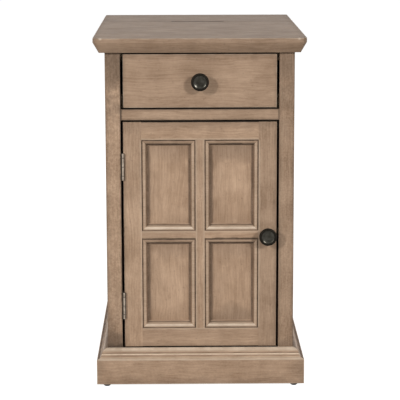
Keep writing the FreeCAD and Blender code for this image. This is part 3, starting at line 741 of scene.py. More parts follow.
def corner_spots(tree, place):
    """Two pale spots where hands have rubbed the front corners of the top, also a painted highlight where the
    rounded corners turn.
    """
    spot = Vector((top_high.x, -top_low.y, top_high.z)) - CORNER_IN
    away = add(tree, "ShaderNodeVectorMath", {"operation": "DISTANCE"})
    fill(tree, away.inputs[0], vector_calc(tree, "ABSOLUTE", place))
    fill(tree, away.inputs[1], spot)
    return ease(tree, away.outputs["Value"], CORNER_REACH, 1 * MM, 0.0, CORNER_RUB_AND_HIGHLIGHT)


def beside_fields(tree, place):
    """One beside the fields, nought above and below them."""
    height = axes(tree, place)[2]
    above = ease(tree, height, first_low.z - 2 * MM, first_low.z + 6 * MM)
    below = ease(tree, height, last_high.z + 2 * MM, last_high.z - 6 * MM)
    return times(tree, above, below)


print("slot in mm:", round(2 * SLOT_HALF / MM), "by", round(SLOT_DEEP / MM))

# %% Dress the boards
# How unevenly the glaze and the painted shade end
GLAZE_AND_SHADE_RAGGED = 0.5
RUB_RAGGED = 0.2
# Reach in millimetres, strength and grain along the arrises
ARRIS_GLAZE = (3.0, 0.15, 90.0)
# Rub along the arrises, which is also a painted highlight on their rounded edges
ARRIS_RUB_AND_HIGHLIGHT = (2.2, 0.38, 45.0)
STILE_SIDE = 0.4
TOP_POLISH = 0.09
SIDE_FIGURE = 0.65


def board_looks(node, shades, rubs):
    """The glaze with painted shade, the rub with painted light, and the painted black shade of the gaps on
    one board.
    """
    def glaze_and_shade_of(tree, place):
        masks = edge_masks(tree, place, node, shades, GLAZE_AND_SHADE_RAGGED)
        if node not in JOINED:
            masks.append(arris_mask(tree, place, node, *ARRIS_GLAZE))
        if node == "lid_panel":
            masks.append(slot_mask(tree, place))
        whole = strongest(tree, masks)
        if node in FACE_STILES:
            whole = times(tree, whole, behind_face(tree, axes(tree, place)[1], 4, 1, STILE_SIDE, 1.0))
        return whole

    def rub_and_light_of(tree, place):
        masks = edge_masks(tree, place, node, rubs, RUB_RAGGED)
        if node in DOOR_STILES:
            masks = [times(tree, mask, beside_fields(tree, place)) for mask in masks]
        if node == "top_panel":
            masks.append(corner_spots(tree, place))
        if node not in JOINED:
            masks.append(arris_mask(tree, place, node, *ARRIS_RUB_AND_HIGHLIGHT))
        return strongest(tree, masks)

    def gap_shade_of(tree, place):
        return gap_shade_mask(tree, place, node) if node in GAP_BOARDS else 0.0

    return {"Glaze": glaze_and_shade_of, "Rub": rub_and_light_of, "GapShade": gap_shade_of}


for seed, (node, (grain, tone, mottle, shades, rubs)) in enumerate(BOARDS.items()):
    settings = {"Tone": tone, "Mottle": mottle}
    if node in ("top_panel", "lid_panel"):
        settings["Polish"] = TOP_POLISH
    if node in SIDE_PANELS:
        settings["Figure"] = SIDE_FIGURE
    looks = board_looks(node, shades, rubs)
    dress(node, washed_material("washed_" + node, grain, float(seed), looks, **settings))
print("washed boards:", len(BOARDS))

# %% [markdown]
# The door's fields
# One thin panel shows through the four openings of the door. Each field is palest in the middle and
# darker all round, glaze with painted shade beside the mouldings, most of all on the left. Wrapping
# the coordinates by the pitch of the openings turns four fields into one, so a single set of distances
# serves them all. On the right, the upper field is darker at its head and the lower one at its foot,
# and those two are added.

# %% Fields between the crossed bars
MOULDING_WIDTH = 12.8
pitch_x = last_low.x - first_low.x
pitch_z = last_low.z - first_low.z
field_wide = first_high.x - first_low.x
field_tall = first_high.z - first_low.z
bars_z = (first_low.z + last_high.z) / 2
print("field in mm:", [round(side / MM, 1) for side in (field_wide, field_tall)])

# %% The fields' glaze and painted shade
PANEL_SEED = 31.0
PANEL_TONE = 1.26
PLAIN_MOTTLE = 0.1
FIELD_GRAIN = 40.0
FIELD_RAGGED = 0.35
# Glaze with painted shade beside the mouldings, darkest on the left
FIELD_SHADES = [
    ("left", 9, 0.46), ("left", 40, 0.15), ("right", 3, 0.30), ("right", 20, 0.08), ("top", 2.4, 0.30),
    ("top", 48, 0.27), ("foot", 35, 0.14),
]
# Darker ends on the right: the edge, then the strength in the lower and in the upper field
END_SHADES = [("top", 0.0, 0.40), ("foot", 0.41, 0.0)]
END_REACH = 52 * MM


def wrapped(tree, value, start, step):
    """A value that starts again from nought at every step."""
    return calc(tree, "FLOORED_MODULO", calc(tree, "SUBTRACT", value, start), step)


def field_glaze_and_shade(tree, place):
    """Glaze and painted shade in from the edges of a field, on the panel's front only."""
    x, y, z = axes(tree, place)
    inset = MOULDING_WIDTH * MM
    across = wrapped(tree, x, first_low.x + inset, pitch_x)
    rise = wrapped(tree, z, first_low.z + inset, pitch_z)
    distance = {
        "left": across, "right": calc(tree, "SUBTRACT", field_wide - 2 * inset, across),
        "foot": rise, "top": calc(tree, "SUBTRACT", field_tall - 2 * inset, rise),
    }
    masks = [
        fade(tree, place, distance[edge], reach * MM, strength, FIELD_GRAIN, FIELD_RAGGED)
        for edge, reach, strength in FIELD_SHADES
    ]
    on_right = ease(tree, x, -2 * MM, 2 * MM)
    for edge, lower, upper in END_SHADES:
        end = fade(tree, place, distance[edge], END_REACH, 1.0, FIELD_GRAIN, FIELD_RAGGED)
        strength = ease(tree, z, bars_z - 2 * MM, bars_z + 2 * MM, lower, upper)
        masks.append(times(tree, end, strength, on_right))
    panel_middle = board_box("door_panel")[0].y
    on_front = ease(tree, y, panel_middle, panel_middle - 0.5 * MM)
    return times(tree, strongest(tree, masks), on_front)


panel_finish = washed_material(
    "washed_door_panel", "z", PANEL_SEED, {"Glaze": field_glaze_and_shade}, Tone=PANEL_TONE, Mottle=PLAIN_MOTTLE,
)
dress("door_panel", panel_finish)
print("material:", panel_finish.name)

# %% [markdown]
# The bead moulding
# Round each field runs a stick of moulding: a thin groove, a bead and a hollow. A joiner pushes one
# profile along a line and cuts the ends at 45 degrees. Geometry nodes can do the same: the profile
# is extruded, every point slides inwards by its own inset, which is a mitre, and four turned
# copies are welded into a closed ring. The inset is kept as an attribute for the glaze, and so is
# how lit each stick is painted: the lower ones face up and are painted brightest, with a thin dark
# line in their hollow, and the upper ones face down and are painted in shade.

# %% Profile of the moulding, as inset from the field's edge and rise above the panel, in millimetres
QUIRK = 1.4
BEAD = 6.6
QUIRK_RISE = 11.2
BEAD_FOOT = 10.2
BEAD_SWELL = 1.8
TOE = 0.8
BEAD_STEPS = 14
COVE_STEPS = 9


def moulding_profile():
    """The closed outline of a stick: groove, bead, hollow and toe."""
    points = [(0, 0), (0, QUIRK_RISE), (QUIRK, QUIRK_RISE)]
    for number in range(1, BEAD_STEPS + 1):
        share = number / BEAD_STEPS
        foot = QUIRK_RISE + (BEAD_FOOT - QUIRK_RISE) * share
        swell = BEAD_SWELL * math.sin(math.pi * share) ** 0.7 if number < BEAD_STEPS else 0.0
        points.append((QUIRK + BEAD * (1 - math.cos(math.pi * share)) / 2, foot + swell))
    hollow = MOULDING_WIDTH - QUIRK - BEAD
    for number in range(1, COVE_STEPS + 1):
        angle = math.pi / 2 * number / COVE_STEPS
        inset = QUIRK + BEAD + hollow * (1 - math.cos(angle))
        points.append((inset, BEAD_FOOT - (BEAD_FOOT - TOE) * math.sin(angle)))
    points.append((MOULDING_WIDTH, 0))
    return [(inset * MM, rise * MM) for inset, rise in points]


profile = moulding_profile()
print("profile points:", len(profile))

# %% Helpers for geometry nodes
STAND_UP = (math.pi / 2, 0, 0)


def geometry_tree(name, inputs):
    """An empty tree with a named input for each size."""
    tree = bpy.data.node_groups.new(name, "GeometryNodeTree")
    for way in ("INPUT", "OUTPUT"):
        tree.interface.new_socket(name="Geometry", in_out=way, socket_type="NodeSocketGeometry")
    for label, kind in inputs.items():
        tree.interface.new_socket(name=label, in_out="INPUT", socket_type="NodeSocket" + kind)
    return tree, add(tree, "NodeGroupInput").outputs


def finish_tree(tree, geometry, material):
    """Ends a tree: instances become real and get their material."""
    real = add(tree, "GeometryNodeRealizeInstances", Geometry=geometry)
    painted = add(tree, "GeometryNodeSetMaterial", Geometry=real.outputs[0], Material=material)
    add(tree, "NodeGroupOutput", Geometry=painted.outputs[0])


def turned(tree, geometry, degrees):
    """Turns a shape about Z."""
    made = add(tree, "GeometryNodeTransform", Geometry=geometry, Rotation=(0, 0, math.radians(degrees)))
    return made.outputs[0]


def marked(tree, geometry, domain, name, value):
    """Keeps a number for every point or face under a name that materials can read."""
    made = add(
        tree, "GeometryNodeStoreNamedAttribute", {"data_type": "FLOAT", "domain": domain},
        Geometry=geometry, Name=name, Value=value,
    )
    return made.outputs[0]


print("geometry helpers ready")

# %% Geometry nodes: the mitred ring
WELD = 0.01 * MM
# Marks of the four sticks: how lit each is painted, from the upper one in painted shade to the lower one
# painted brightest
UPPER = 0.0
LEFT = 0.45
RIGHT = 0.55
LOWER = 1.0
# How many degrees each stick is turned from the lower one, and its mark
STICKS = {"lower": (0, LOWER), "right": (90, RIGHT), "upper": (180, UPPER), "left": (-90, LEFT)}


def mitred_stick(tree, shape, along, across):
    """A stick for the lower side: the profile lies at the left end with its inset along Y."""
    half = times(tree, along, 0.5)
    run = add(tree, "ShaderNodeCombineXYZ", X=along)
    pushed = add(
        tree, "GeometryNodeExtrudeMesh", {"mode": "EDGES"}, Mesh=shape,
        Offset=run.outputs[0], Offset_Scale=1.0,
    )
    x, inset, rise = axes(tree, add(tree, "GeometryNodeInputPosition").outputs[0])
    kept = marked(tree, pushed.outputs[0], "POINT", "inset", inset)
    slid = calc(tree, "SUBTRACT", x, half)
    short = calc(tree, "DIVIDE", calc(tree, "SUBTRACT", half, inset), half)
    sunk = calc(tree, "SUBTRACT", inset, times(tree, across, 0.5))
    target = add(tree, "ShaderNodeCombineXYZ", X=times(tree, slid, short), Y=sunk, Z=rise)
    return add(tree, "GeometryNodeSetPosition", Geometry=kept, Position=target.outputs[0]).outputs[0]


def mitred_ring():
    """Four sticks, turned, marked, welded and stood upright."""
    tree, given = geometry_tree(
        "mitred_ring", {"Width": "Float", "Height": "Float", "Centre": "Vector", "Material": "Material"},
    )
    lying = mitred_stick(tree, given["Geometry"], given["Width"], given["Height"])
    standing = mitred_stick(tree, given["Geometry"], given["Height"], given["Width"])
    ring = add(tree, "GeometryNodeJoinGeometry")
    for side, (degrees, stick_light) in STICKS.items():
        stick = turned(tree, lying if side in ("lower", "upper") else standing, degrees)
        tree.links.new(marked(tree, stick, "FACE", "stick_light", stick_light), ring.inputs[0])
    welded = add(tree, "GeometryNodeMergeByDistance", Geometry=ring.outputs[0], Distance=WELD)
    upright = add(
        tree, "GeometryNodeTransform", Geometry=welded.outputs[0],
        Translation=given["Centre"], Rotation=STAND_UP,
    )
    finish_tree(tree, upright.outputs[0], given["Material"])
    return tree


ring_tree = mitred_ring()
print("tree:", ring_tree.name)

# %% Material of the moulding, banded by its inset
BEAD_SEED = 40.0
BEAD_TONE = 1.06
BEAD_PATCHES = 55.0
# Inset and reach of a band
QUIRK_BAND = (0.8 * MM, 2.6 * MM)
CROWN_BAND = (5.2 * MM, 3.4 * MM)
SLOPE_BAND = (6.2 * MM, 5.2 * MM)
# Strength of the painted light on the slopes of the lower sticks, which face up
SLOPE_LIT = 0.76
# A mark between the left and the right sticks
SIDES = 0.5


def moulding_material():
    """How strong each band of glaze, painted shade, rub and painted light is depends on the stick's mark."""
    material, tree, place = start_material("washed_moulding")
    inset = attribute(tree, "inset")
    stick_light = attribute(tree, "stick_light")
    lower = ease(tree, stick_light, 0.6, LOWER)
    # The groove and the hollow are darkened with glaze and painted shade, most on the upper sticks, which
    # face down
    quirk_dark = times(tree, band(tree, inset, *QUIRK_BAND), ease(tree, stick_light, LEFT, LOWER, 0.95, 0.5))
    hollow_at = ease(tree, stick_light, UPPER, LEFT, 8.4 * MM, 11.0 * MM)
    hollow_at = calc(tree, "SUBTRACT", hollow_at, times(tree, lower, 0.8 * MM))
    hollow_reach = ease(tree, stick_light, LEFT, LOWER, 4.8 * MM, 1.8 * MM)
    hollow_dark = times(
        tree, band(tree, inset, hollow_at, hollow_reach), ease(tree, stick_light, UPPER, SIDES, 1.05, 0.60),
        ease(tree, lower, 0.0, 1.0, 1.0, 1.2),
    )
    # The bead's crown is painted in shade on the upper sticks and painted lit on the others
    crown = band(tree, inset, *CROWN_BAND)
    crown_shade = times(tree, crown, ease(tree, stick_light, UPPER, SIDES, 0.30, 0.0))
    crown_lit = times(tree, crown, ease(tree, stick_light, UPPER, SIDES, 0.0, 0.20))
    # The slope of the lower sticks is painted lit
    slope_lit = times(tree, band(tree, inset, *SLOPE_BAND, SLOPE_LIT), lower)
    patches = ease(tree, noise(tree, place, BEAD_PATCHES, *CLOUDY), *SPREAD, 0.7, 1.1)
    finish = use_group(
        tree, wash_group, Place=place, Seed=BEAD_SEED, Tone=BEAD_TONE, Mottle=PLAIN_MOTTLE,
        Glaze=times(tree, strongest(tree, [quirk_dark, hollow_dark, crown_shade]), patches),
        Rub=times(tree, strongest(tree, [crown_lit, slope_lit]), patches),
    )
    end_material(tree, *finish, Specular_IOR_Level=WOOD_SPECULAR)
    return material


bead_finish = moulding_material()
print("material:", bead_finish.name)

# %% Helpers that make a piece
def grown(name, tree, mesh, settings):
    """Runs a tree once over a mesh and keeps what it made as a plain mesh at the origin."""
    seed_object = bpy.data.objects.new(name + "_seed", mesh)
    scene.collection.objects.link(seed_object)
    modifier = seed_object.modifiers.new("grow", "NODES")
    modifier.node_group = tree
    keys = {item.name: item.identifier for item in tree.interface.items_tree if item.in_out == "INPUT"}
    for label, value in settings.items():
        modifier[keys[label]] = value
    depsgraph = bpy.context.evaluated_depsgraph_get()
    made = bpy.data.meshes.new_from_object(seed_object.evaluated_get(depsgraph))
    seed_object.modifiers.clear()
    bpy.data.objects.remove(seed_object)
    piece = bpy.data.objects.new(name, made)
    made.name = name
    scene.collection.objects.link(piece)
    return piece


def smooth(piece, sharp_degrees=40):
    """Shades a piece smooth, but for its sharp edges."""
    piece.data.shade_smooth()
    piece.data.set_sharp_from_angle(angle=math.radians(sharp_degrees))


def stand_for(piece, node):
    """The piece takes a board's place, on the same body, and the board is hidden."""
    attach(piece, body_of[node])
    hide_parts(node)


print("piece helpers ready")

# %% Sweep the four rings
def moulding_ring(field):
    """The ring of one field, in place of its plain sticks."""
    node = field + "_moulding"
    low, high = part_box(node)
    count = len(profile)
    mesh = bpy.data.meshes.new("moulding_profile")
    mesh.from_pydata(
        [(0, inset, rise) for inset, rise in profile],
        [(number, (number + 1) % count) for number in range(count)], [],
    )
    centre = Vector(((low.x + high.x) / 2, high.y, (low.z + high.z) / 2))
    piece = grown(
        field + "_bead", ring_tree, mesh,
        {"Width": high.x - low.x, "Height": high.z - low.z, "Centre": centre, "Material": bead_finish},
    )
    smooth(piece)
    stand_for(piece, node)
    return piece


rings = [moulding_ring(field) for field in ("upper_left", "upper_right", "lower_left", "lower_right")]
print("rings:", [(ring_piece.name, len(ring_piece.data.polygons)) for ring_piece in rings])

# %% [markdown]
# The moulded cap of the base
# Over the base boards lies a moulded cap: a hollow, a small step and a rounded quarter. In front the
# arris, the step and the rounded part look up and are painted bright, partly as rub, and glaze with
# painted shade stays in the hollow and the step. The side caps face away from the front lamps and are
# painted darker. The shape runs level all round, so height alone says where each belongs.

# %% Cap material
CAP_SEED = 50.0
CAP_PATCHES = 40.0
# Level above the cap's foot and reach, both in millimetres, and strength
# Bands of glaze with painted shade, and of rub with painted light on the upward faces; the side caps get more
# painted shade
FRONT_GLAZE_AND_SHADE = [(5.6, 1.8, 0.25), (10.6, 1.5, 0.55)]
FRONT_RUB_AND_LIGHT = [(0.0, 5.0, 0.65), (8.2, 1.7, 1.0), (19.0, 8.0, 0.85)]
SIDE_GLAZE_AND_SHADE = [(0.5, 4.5, 0.72), (10.6, 1.5, 0.55), (19.0, 7.0, 0.60)]
SIDE_RUB_AND_LIGHT = [(8.2, 1.7, 0.45), (13.0, 3.0, 0.20)]
CAPS = {
    "base_cap_front": ("x", FRONT_GLAZE_AND_SHADE, FRONT_RUB_AND_LIGHT),
    "base_cap_left": ("y", SIDE_GLAZE_AND_SHADE, SIDE_RUB_AND_LIGHT),
    "base_cap_right": ("y", SIDE_GLAZE_AND_SHADE, SIDE_RUB_AND_LIGHT),
}


def level_look(levels):
    """A look of the wash that is made of bands at some levels of the cap."""
    def mask_of(tree, place):
        height = axes(tree, place)[2]
        masks = [
            band(tree, height, cap_low.z + level * MM, reach * MM, strength)
            for level, reach, strength in levels
        ]
        patches = ease(tree, noise(tree, place, CAP_PATCHES, *CLOUDY), *SPREAD, 0.6, 1.1)
        return times(tree, strongest(tree, masks), patches)

    return mask_of


for seed, (node, (grain, dark, worn_and_lit)) in enumerate(CAPS.items()):
    looks = {"Glaze": level_look(dark), "Rub": level_look(worn_and_lit)}
    settings = {"Tone": BEAD_TONE, "Mottle": PLAIN_MOTTLE}
    dress(node, washed_material("washed_" + node, grain, CAP_SEED + seed, looks, **settings))
print("cap is", round((cap_high.z - cap_low.z) / MM, 1), "mm high")

# %% [markdown]
# Inside woods
# Drawer box, shelf, floors, guides and blocks are plain pale wood, only sealed. The back and the
# drawer's bottom are thin sheet. They share the figure of the washed boards, with other colours, less
# contrast and no glaze. Only a board's longest side tells which way its grain runs.

# %% Plain wood material
PLAIN_SEED = 60.0
PLAIN_SHARES = {"Streak": 0.4, "Band": 0.6}
PLAIN_PORE = 0.3
PLAIN_ROUGH = (0.55, 0.72)
# Dark and light colour of each kind
PLAIN_WOODS = {
    "inner_wood": ((0.40, 0.27, 0.15, 1), (0.60, 0.45, 0.28, 1)),
    "sheet_wood": ((0.27, 0.175, 0.10, 1), (0.42, 0.295, 0.18, 1)),
}


def plain_wood(name, grain, seed, dark, light):
    """Streaks and bands between two colours, with dark pores."""
    material, tree, place = start_material(name)
    figure = use_group(tree, figure_group, Place=grain_place(tree, place, grain), Seed=seed)
    parts = [times(tree, figure[label], share) for label, share in PLAIN_SHARES.items()]
    colour = blend(tree, calc(tree, "ADD", *parts), dark, light)
    colour = blend(tree, times(tree, figure["Pore"], PLAIN_PORE), colour, dark)
    rough = ease(tree, figure["Cloud"], 0.0, 1.0, *PLAIN_ROUGH)
    height = calc(tree, "SUBTRACT", figure["Streak"], figure["Pore"])
    end_material(tree, colour, rough, height, bump=0.25)
    return material


def longest_side(node):
    """The axis of a board's longest side."""
    half = board_box(node)[1]
    return "xyz"[max(range(3), key=lambda axis: half[axis])]


plain_nodes = [node for node in nodes if slot_of[node] in PLAIN_WOODS]
for seed, node in enumerate(plain_nodes):
    colours = PLAIN_WOODS[slot_of[node]]
    dress(node, plain_wood("plain_" + node, longest_side(node), PLAIN_SEED + seed, *colours))
print("plain boards:", len(plain_nodes))

# %% [markdown]
# Metals and the dark plastic
# The hinges are satin nickel, the hidden screws zinc, the glides and the catch dark plastic. Metal is
# mostly its reflections, so what matters is roughness: fine scratches and a little dullness where
# fingers have been. One function with a few numbers covers all of them, and a mask may add a dark
# colour: on the door's hinges it is painted shade in the corners on both sides of the barrel, and dark
# joins between the knuckles; on the knobs it is the black of their rims.

# %% Hardware material
# Dark colour of grime, and of painted shade beside the hinge barrels
GRIME_AND_SHADE = (0.010, 0.008, 0.006, 1)
GRIME_DULL = 0.3
SMUDGES = 140.0
SCRATCHES = 2400.0


def hardware(name, dark, light, rough_low, rough_high, metal, scratch_long, grime_and_shade_of=None):
    """Smudges over fine scratches, and a dark colour where a given mask asks for it, which paints shade
    beside the hinge barrels and blackens the knobs' rims.
    """
    material, tree, place = start_material(name)
    smudge = noise(tree, place, SMUDGES, *CLOUDY)
    fine = noise(tree, stretched(tree, place, scratch_long, SCRATCHES), 1.0)
    colour = blend(tree, ease(tree, smudge, *SPREAD), dark, light)
    rough = ease(tree, smudge, *SPREAD, rough_low, rough_high)
    if grime_and_shade_of:
        grime_and_shade = grime_and_shade_of(tree, place)
        colour = blend(tree, grime_and_shade, colour, GRIME_AND_SHADE)
        rough = calc(tree, "ADD", rough, times(tree, grime_and_shade, GRIME_DULL))
    end_material(tree, colour, rough, fine, bump=0.12, deep=0.1 * MM, Metallic=metal)
    return material


print("scratches per metre:", SCRATCHES)

# %% Painted shade and dark joins on the door's hinges
HINGE_LENGTH = 50.8 * MM
KNUCKLE = HINGE_LENGTH / 3
# Strength of the painted shade beside the barrels
BARREL_SHADE = 0.86
JOIN_GRIME = 0.55
pin_centre, pin_half = board_box("door_hinge_pins")


def hinge_shade_and_joins(tree, place):
    """Painted shade beside the barrels, not deep on the leaves, and dark joins. Both hinges fold onto one."""
    x, y, z = axes(tree, place)
    beside = ease(tree, apart(tree, x, pin_centre.x), 1.1 * MM, 2.0 * MM, 0.0, BARREL_SHADE)
    beside = times(tree, beside, behind_face(tree, y, 9, 6))
    start = pin_half.z - HINGE_LENGTH / 2 - KNUCKLE / 2
    along = wrapped(tree, apart(tree, z, pin_centre.z), start, KNUCKLE)
    join = ease(tree, apart(tree, along, KNUCKLE / 2), 1.2 * MM, 0.4 * MM, 0.0, JOIN_GRIME)
    return strongest(tree, [beside, join])


print("knuckle in mm:", round(KNUCKLE / MM, 1))

# %% Dress the fittings
# Dark and light colour, least and most roughness, metal or not, scratches per metre along X
NICKEL = ((0.215, 0.172, 0.134, 1), (0.375, 0.310, 0.248, 1), 0.34, 0.46, 1.0, 2400.0)
ZINC = ((0.46, 0.46, 0.45, 1), (0.62, 0.62, 0.60, 1), 0.30, 0.48, 1.0, 900.0)
PLASTIC = ((0.010, 0.009, 0.008, 1), (0.018, 0.016, 0.014, 1), 0.65, 0.80, 0.0, 700.0)
zinc = hardware("zinc_plate", *ZINC)
fittings = {
    "nickel": hardware("satin_nickel", *NICKEL),
    "steel": zinc,
    "plastic": hardware("dark_plastic", *PLASTIC),
}
door_nickel = hardware("door_hinge_nickel", *NICKEL, hinge_shade_and_joins)
fitted = [node for node in nodes if slot_of[node] in fittings]
for node in fitted:
    dress(node, fittings[slot_of[node]])
for node in ("door_hinge_frame_leaves", "door_hinge_door_leaves"):
    dress(node, door_nickel)
print("fittings:", len(fitted))

# %% [markdown]
# The two knobs
# The knobs are turned: a foot, a thin neck, a swelling head and a rim round a hollow dish. The dish
# shows the two lamps as pale patches low on either side, which only a true curve gives.
# A lathe is a profile turned round an axis, so rings of points are joined here into one closed skin.
# Every point keeps its radius as an attribute, because the oil-rubbed bronze is blackest on the rim.

# %% Oil-rubbed bronze
BRONZE = ((0.024, 0.022, 0.017, 1), (0.049, 0.046, 0.039, 1), 0.18, 0.28, 1.0, 900.0)
# Share of the rim's radius where the black starts and is full
RIM_BLACK = (0.68, 0.76)
RIM_GRIME = 0.88


def dark_rim(tree, place):
    """Black on a knob's rim."""
    return ease(tree, attribute(tree, "rim_share"), *RIM_BLACK, 0.0, RIM_GRIME)


bronze = hardware("oil_rubbed_bronze", *BRONZE, dark_rim)
print("material:", bronze.name)

# %% Profile of a knob, in millimetres
FOOT_RADIUS = 8.5
FOOT_HIGH = 1.7
FOOT_ROUND = 0.8
NECK_RADIUS = 5.25
# How much wider than the neck, and at which height
NECK_FLARE = [(1.0, 2.7), (0.2, 3.6), (0.0, 6.0)]
HEAD_DEEP = 13.0
# Share of the rim's radius, and depth below the front
SWELLING = [(0.36, 11.4), (0.47, 9.7), (0.65, 8.2), (0.83, 6.5), (0.955, 4.8)]
RIM_OUTER = (1.5, 1.9)
RIM_INNER = (2.2, 1.4)
RIM_DROP = 2.7
RIM_IN = 2.4
LIP_IN = 4.6
DISH_DEEP = 1.6
DISH_STEPS = 12


def arc_points(centre, radius, start, stop, count):
    """Points along a part of an ellipse."""
    angles = [math.radians(start + (stop - start) * number / count) for number in range(count + 1)]
    return [(centre[0] + radius[0] * math.cos(a), centre[1] + radius[1] * math.sin(a)) for a in angles]


def knob_profile(rim, reach):
    """(radius, height above the front) in millimetres, from the foot to the middle of the dish."""
    foot = [(0.0, 0.0), (FOOT_RADIUS, 0.0), (FOOT_RADIUS, FOOT_HIGH)]
    foot += arc_points((FOOT_RADIUS - FOOT_ROUND, FOOT_HIGH), (FOOT_ROUND, FOOT_ROUND), 0, 90, 4)[1:]
    neck = [(NECK_RADIUS + wider, height) for wider, height in NECK_FLARE]
    neck.append((NECK_RADIUS, reach - HEAD_DEEP))
    belly = [(rim * share, reach - down) for share, down in SWELLING]
    edge = arc_points((rim - RIM_OUTER[0], reach - RIM_DROP), RIM_OUTER, -40, 90, 8)
    edge += arc_points((rim - RIM_IN, reach - RIM_INNER[1]), RIM_INNER, 90, 180, 6)[1:]
    lip = reach - RIM_INNER[1]
    shares = [1 - number / DISH_STEPS for number in range(1, DISH_STEPS + 1)]
    dish = [((rim - LIP_IN) * share, lip - DISH_DEEP * (1 - share ** 3)) for share in shares]
    return foot + neck + belly + edge + dish


print("foot and neck in mm:", 2 * FOOT_RADIUS, "and", 2 * NECK_RADIUS)

# %% Lathe
KNOB_TURNS = 72
KNOB_SHARP = 50


def lathe(name, points, foot_at, rim):
    """Turns the profile about a line that runs from the given point towards the viewer."""
    corners = []
    rings = []
    shares = []
    for radius, height in points:
        turns = KNOB_TURNS if radius > 0 else 1
        rings.append(list(range(len(corners), len(corners) + turns)))
        shares += [radius / rim] * turns
        for number in range(turns):
            angle = 2 * math.pi * number / KNOB_TURNS
            spoke = Vector((math.cos(angle), 0, math.sin(angle))) * radius * MM
            corners.append(foot_at + spoke - Vector((0, height * MM, 0)))
    faces = []
    for inner, outer in zip(rings, rings[1:]):
        for number in range(KNOB_TURNS):
            after = (number + 1) % KNOB_TURNS
            if len(inner) == 1:
                faces.append((inner[0], outer[number], outer[after]))
            elif len(outer) == 1:
                faces.append((inner[number], outer[0], inner[after]))
            else:
                faces.append((inner[number], outer[number], outer[after], inner[after]))
    mesh = bpy.data.meshes.new(name)
    mesh.from_pydata(corners, [], faces)
    rim_share = mesh.attributes.new("rim_share", "FLOAT", "POINT")
    rim_share.data.foreach_set("value", shares)
    piece = bpy.data.objects.new(name, mesh)
    scene.collection.objects.link(piece)
    smooth(piece, KNOB_SHARP)
    return piece


print("sides of a turned ring:", KNOB_TURNS)

# %% Turn the two knobs
for node in ("drawer_knob", "door_knob"):
    low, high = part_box(node)
    rim = (high.x - low.x) / 2 / MM
    reach = (high.y - low.y) / MM
    foot_at = Vector(((low.x + high.x) / 2, high.y, (low.z + high.z) / 2))
    knob = lathe("turned_" + node, knob_profile(rim, reach), foot_at, rim)
    knob.data.materials.append(bronze)
    stand_for(knob, node)
    print(knob.name, "faces", len(knob.data.polygons), "reach in mm", round(reach, 1))

# %% [markdown]
# Screws
# Each hinge leaf is held by two countersunk screws with a crossed recess, and the cleats hold the top
# with larger ones. One geometry tree cuts a single screw from a cone and two bars, sets it on every
# point, turns it along the point's own direction, and gives it a random twist, as a hand would.

# %% Geometry nodes: one screw
HEAD_SIDES = 28
SHANK_SIDES = 16
# Length and width of a bar of the crossed recess, as shares of the head
RECESS_LONG = 0.56
RECESS_WIDE = 0.12


def screw_shape(tree, head, shank, length):
    """One screw: its head lies at the origin, its shank along Z."""
    head_radius = times(tree, head, 0.5)
    shank_radius = times(tree, shank, 0.5)
    head_depth = calc(tree, "SUBTRACT", head_radius, shank_radius)
    cone = add(
        tree, "GeometryNodeMeshCone", Vertices=HEAD_SIDES, Radius_Top=shank_radius,
        Radius_Bottom=head_radius, Depth=head_depth,
    )
    bar_size = add(
        tree, "ShaderNodeCombineXYZ", X=times(tree, head, RECESS_LONG), Y=times(tree, head, RECESS_WIDE),
        Z=head_depth,
    )
    bar = add(tree, "GeometryNodeMeshCube", Size=bar_size.outputs[0])
    crossed = add(tree, "GeometryNodeJoinGeometry")
    for degrees in (0, 90):
        tree.links.new(turned(tree, bar.outputs[0], degrees), crossed.inputs[0])
    headed = add(tree, "GeometryNodeMeshBoolean", {"operation": "DIFFERENCE"})
    tree.links.new(cone.outputs[0], headed.inputs["Mesh 1"])
    tree.links.new(crossed.outputs[0], headed.inputs["Mesh 2"])
    body_length = calc(tree, "SUBTRACT", length, head_depth)
    body = add(tree, "GeometryNodeMeshCylinder", Vertices=SHANK_SIDES, Radius=shank_radius, Depth=body_length)
    middle = calc(tree, "ADD", head_depth, times(tree, body_length, 0.5))
    deeper = add(tree, "ShaderNodeCombineXYZ", Z=middle)
    sunk = add(tree, "GeometryNodeTransform", Geometry=body.outputs[0], Translation=deeper.outputs[0])
    whole = add(tree, "GeometryNodeJoinGeometry")
    for shape in (headed, sunk):
        tree.links.new(shape.outputs[0], whole.inputs[0])
    return whole.outputs[0]


print("sides of head and shank:", HEAD_SIDES, SHANK_SIDES)

# %% Geometry nodes: countersunk screws
def countersunk_screws():
    """A screw on every point, along the point's own direction."""
    tree, given = geometry_tree(
        "countersunk_screws",
        {"Head": "Float", "Shank": "Float", "Length": "Float", "Seed": "Int", "Material": "Material"},
    )
    shape = screw_shape(tree, given["Head"], given["Shank"], given["Length"])
    inward = add(tree, "GeometryNodeInputNamedAttribute", {"data_type": "FLOAT_VECTOR"}, Name="inward")
    aimed = add(tree, "FunctionNodeAlignRotationToVector", {"axis": "Z"}, Vector=inward.outputs[0])
    twist = add(tree, "FunctionNodeRandomValue", {"data_type": "FLOAT"}, Seed=given["Seed"])
    fill(tree, twist.inputs[3], math.pi)
    spin = add(tree, "FunctionNodeAxisAngleToRotation", Axis=(0, 0, 1), Angle=twist.outputs[1])
    twisted = add(tree, "FunctionNodeRotateRotation", {"rotation_space": "LOCAL"})
    tree.links.new(aimed.outputs[0], twisted.inputs[0])
    tree.links.new(spin.outputs[0], twisted.inputs[1])
    placed = add(
        tree, "GeometryNodeInstanceOnPoints", Points=given["Geometry"], Instance=shape,
        Rotation=twisted.outputs[0],
    )
    finish_tree(tree, placed.outputs[0], given["Material"])
    return tree


screw_tree = countersunk_screws()
print("tree:", screw_tree.name)

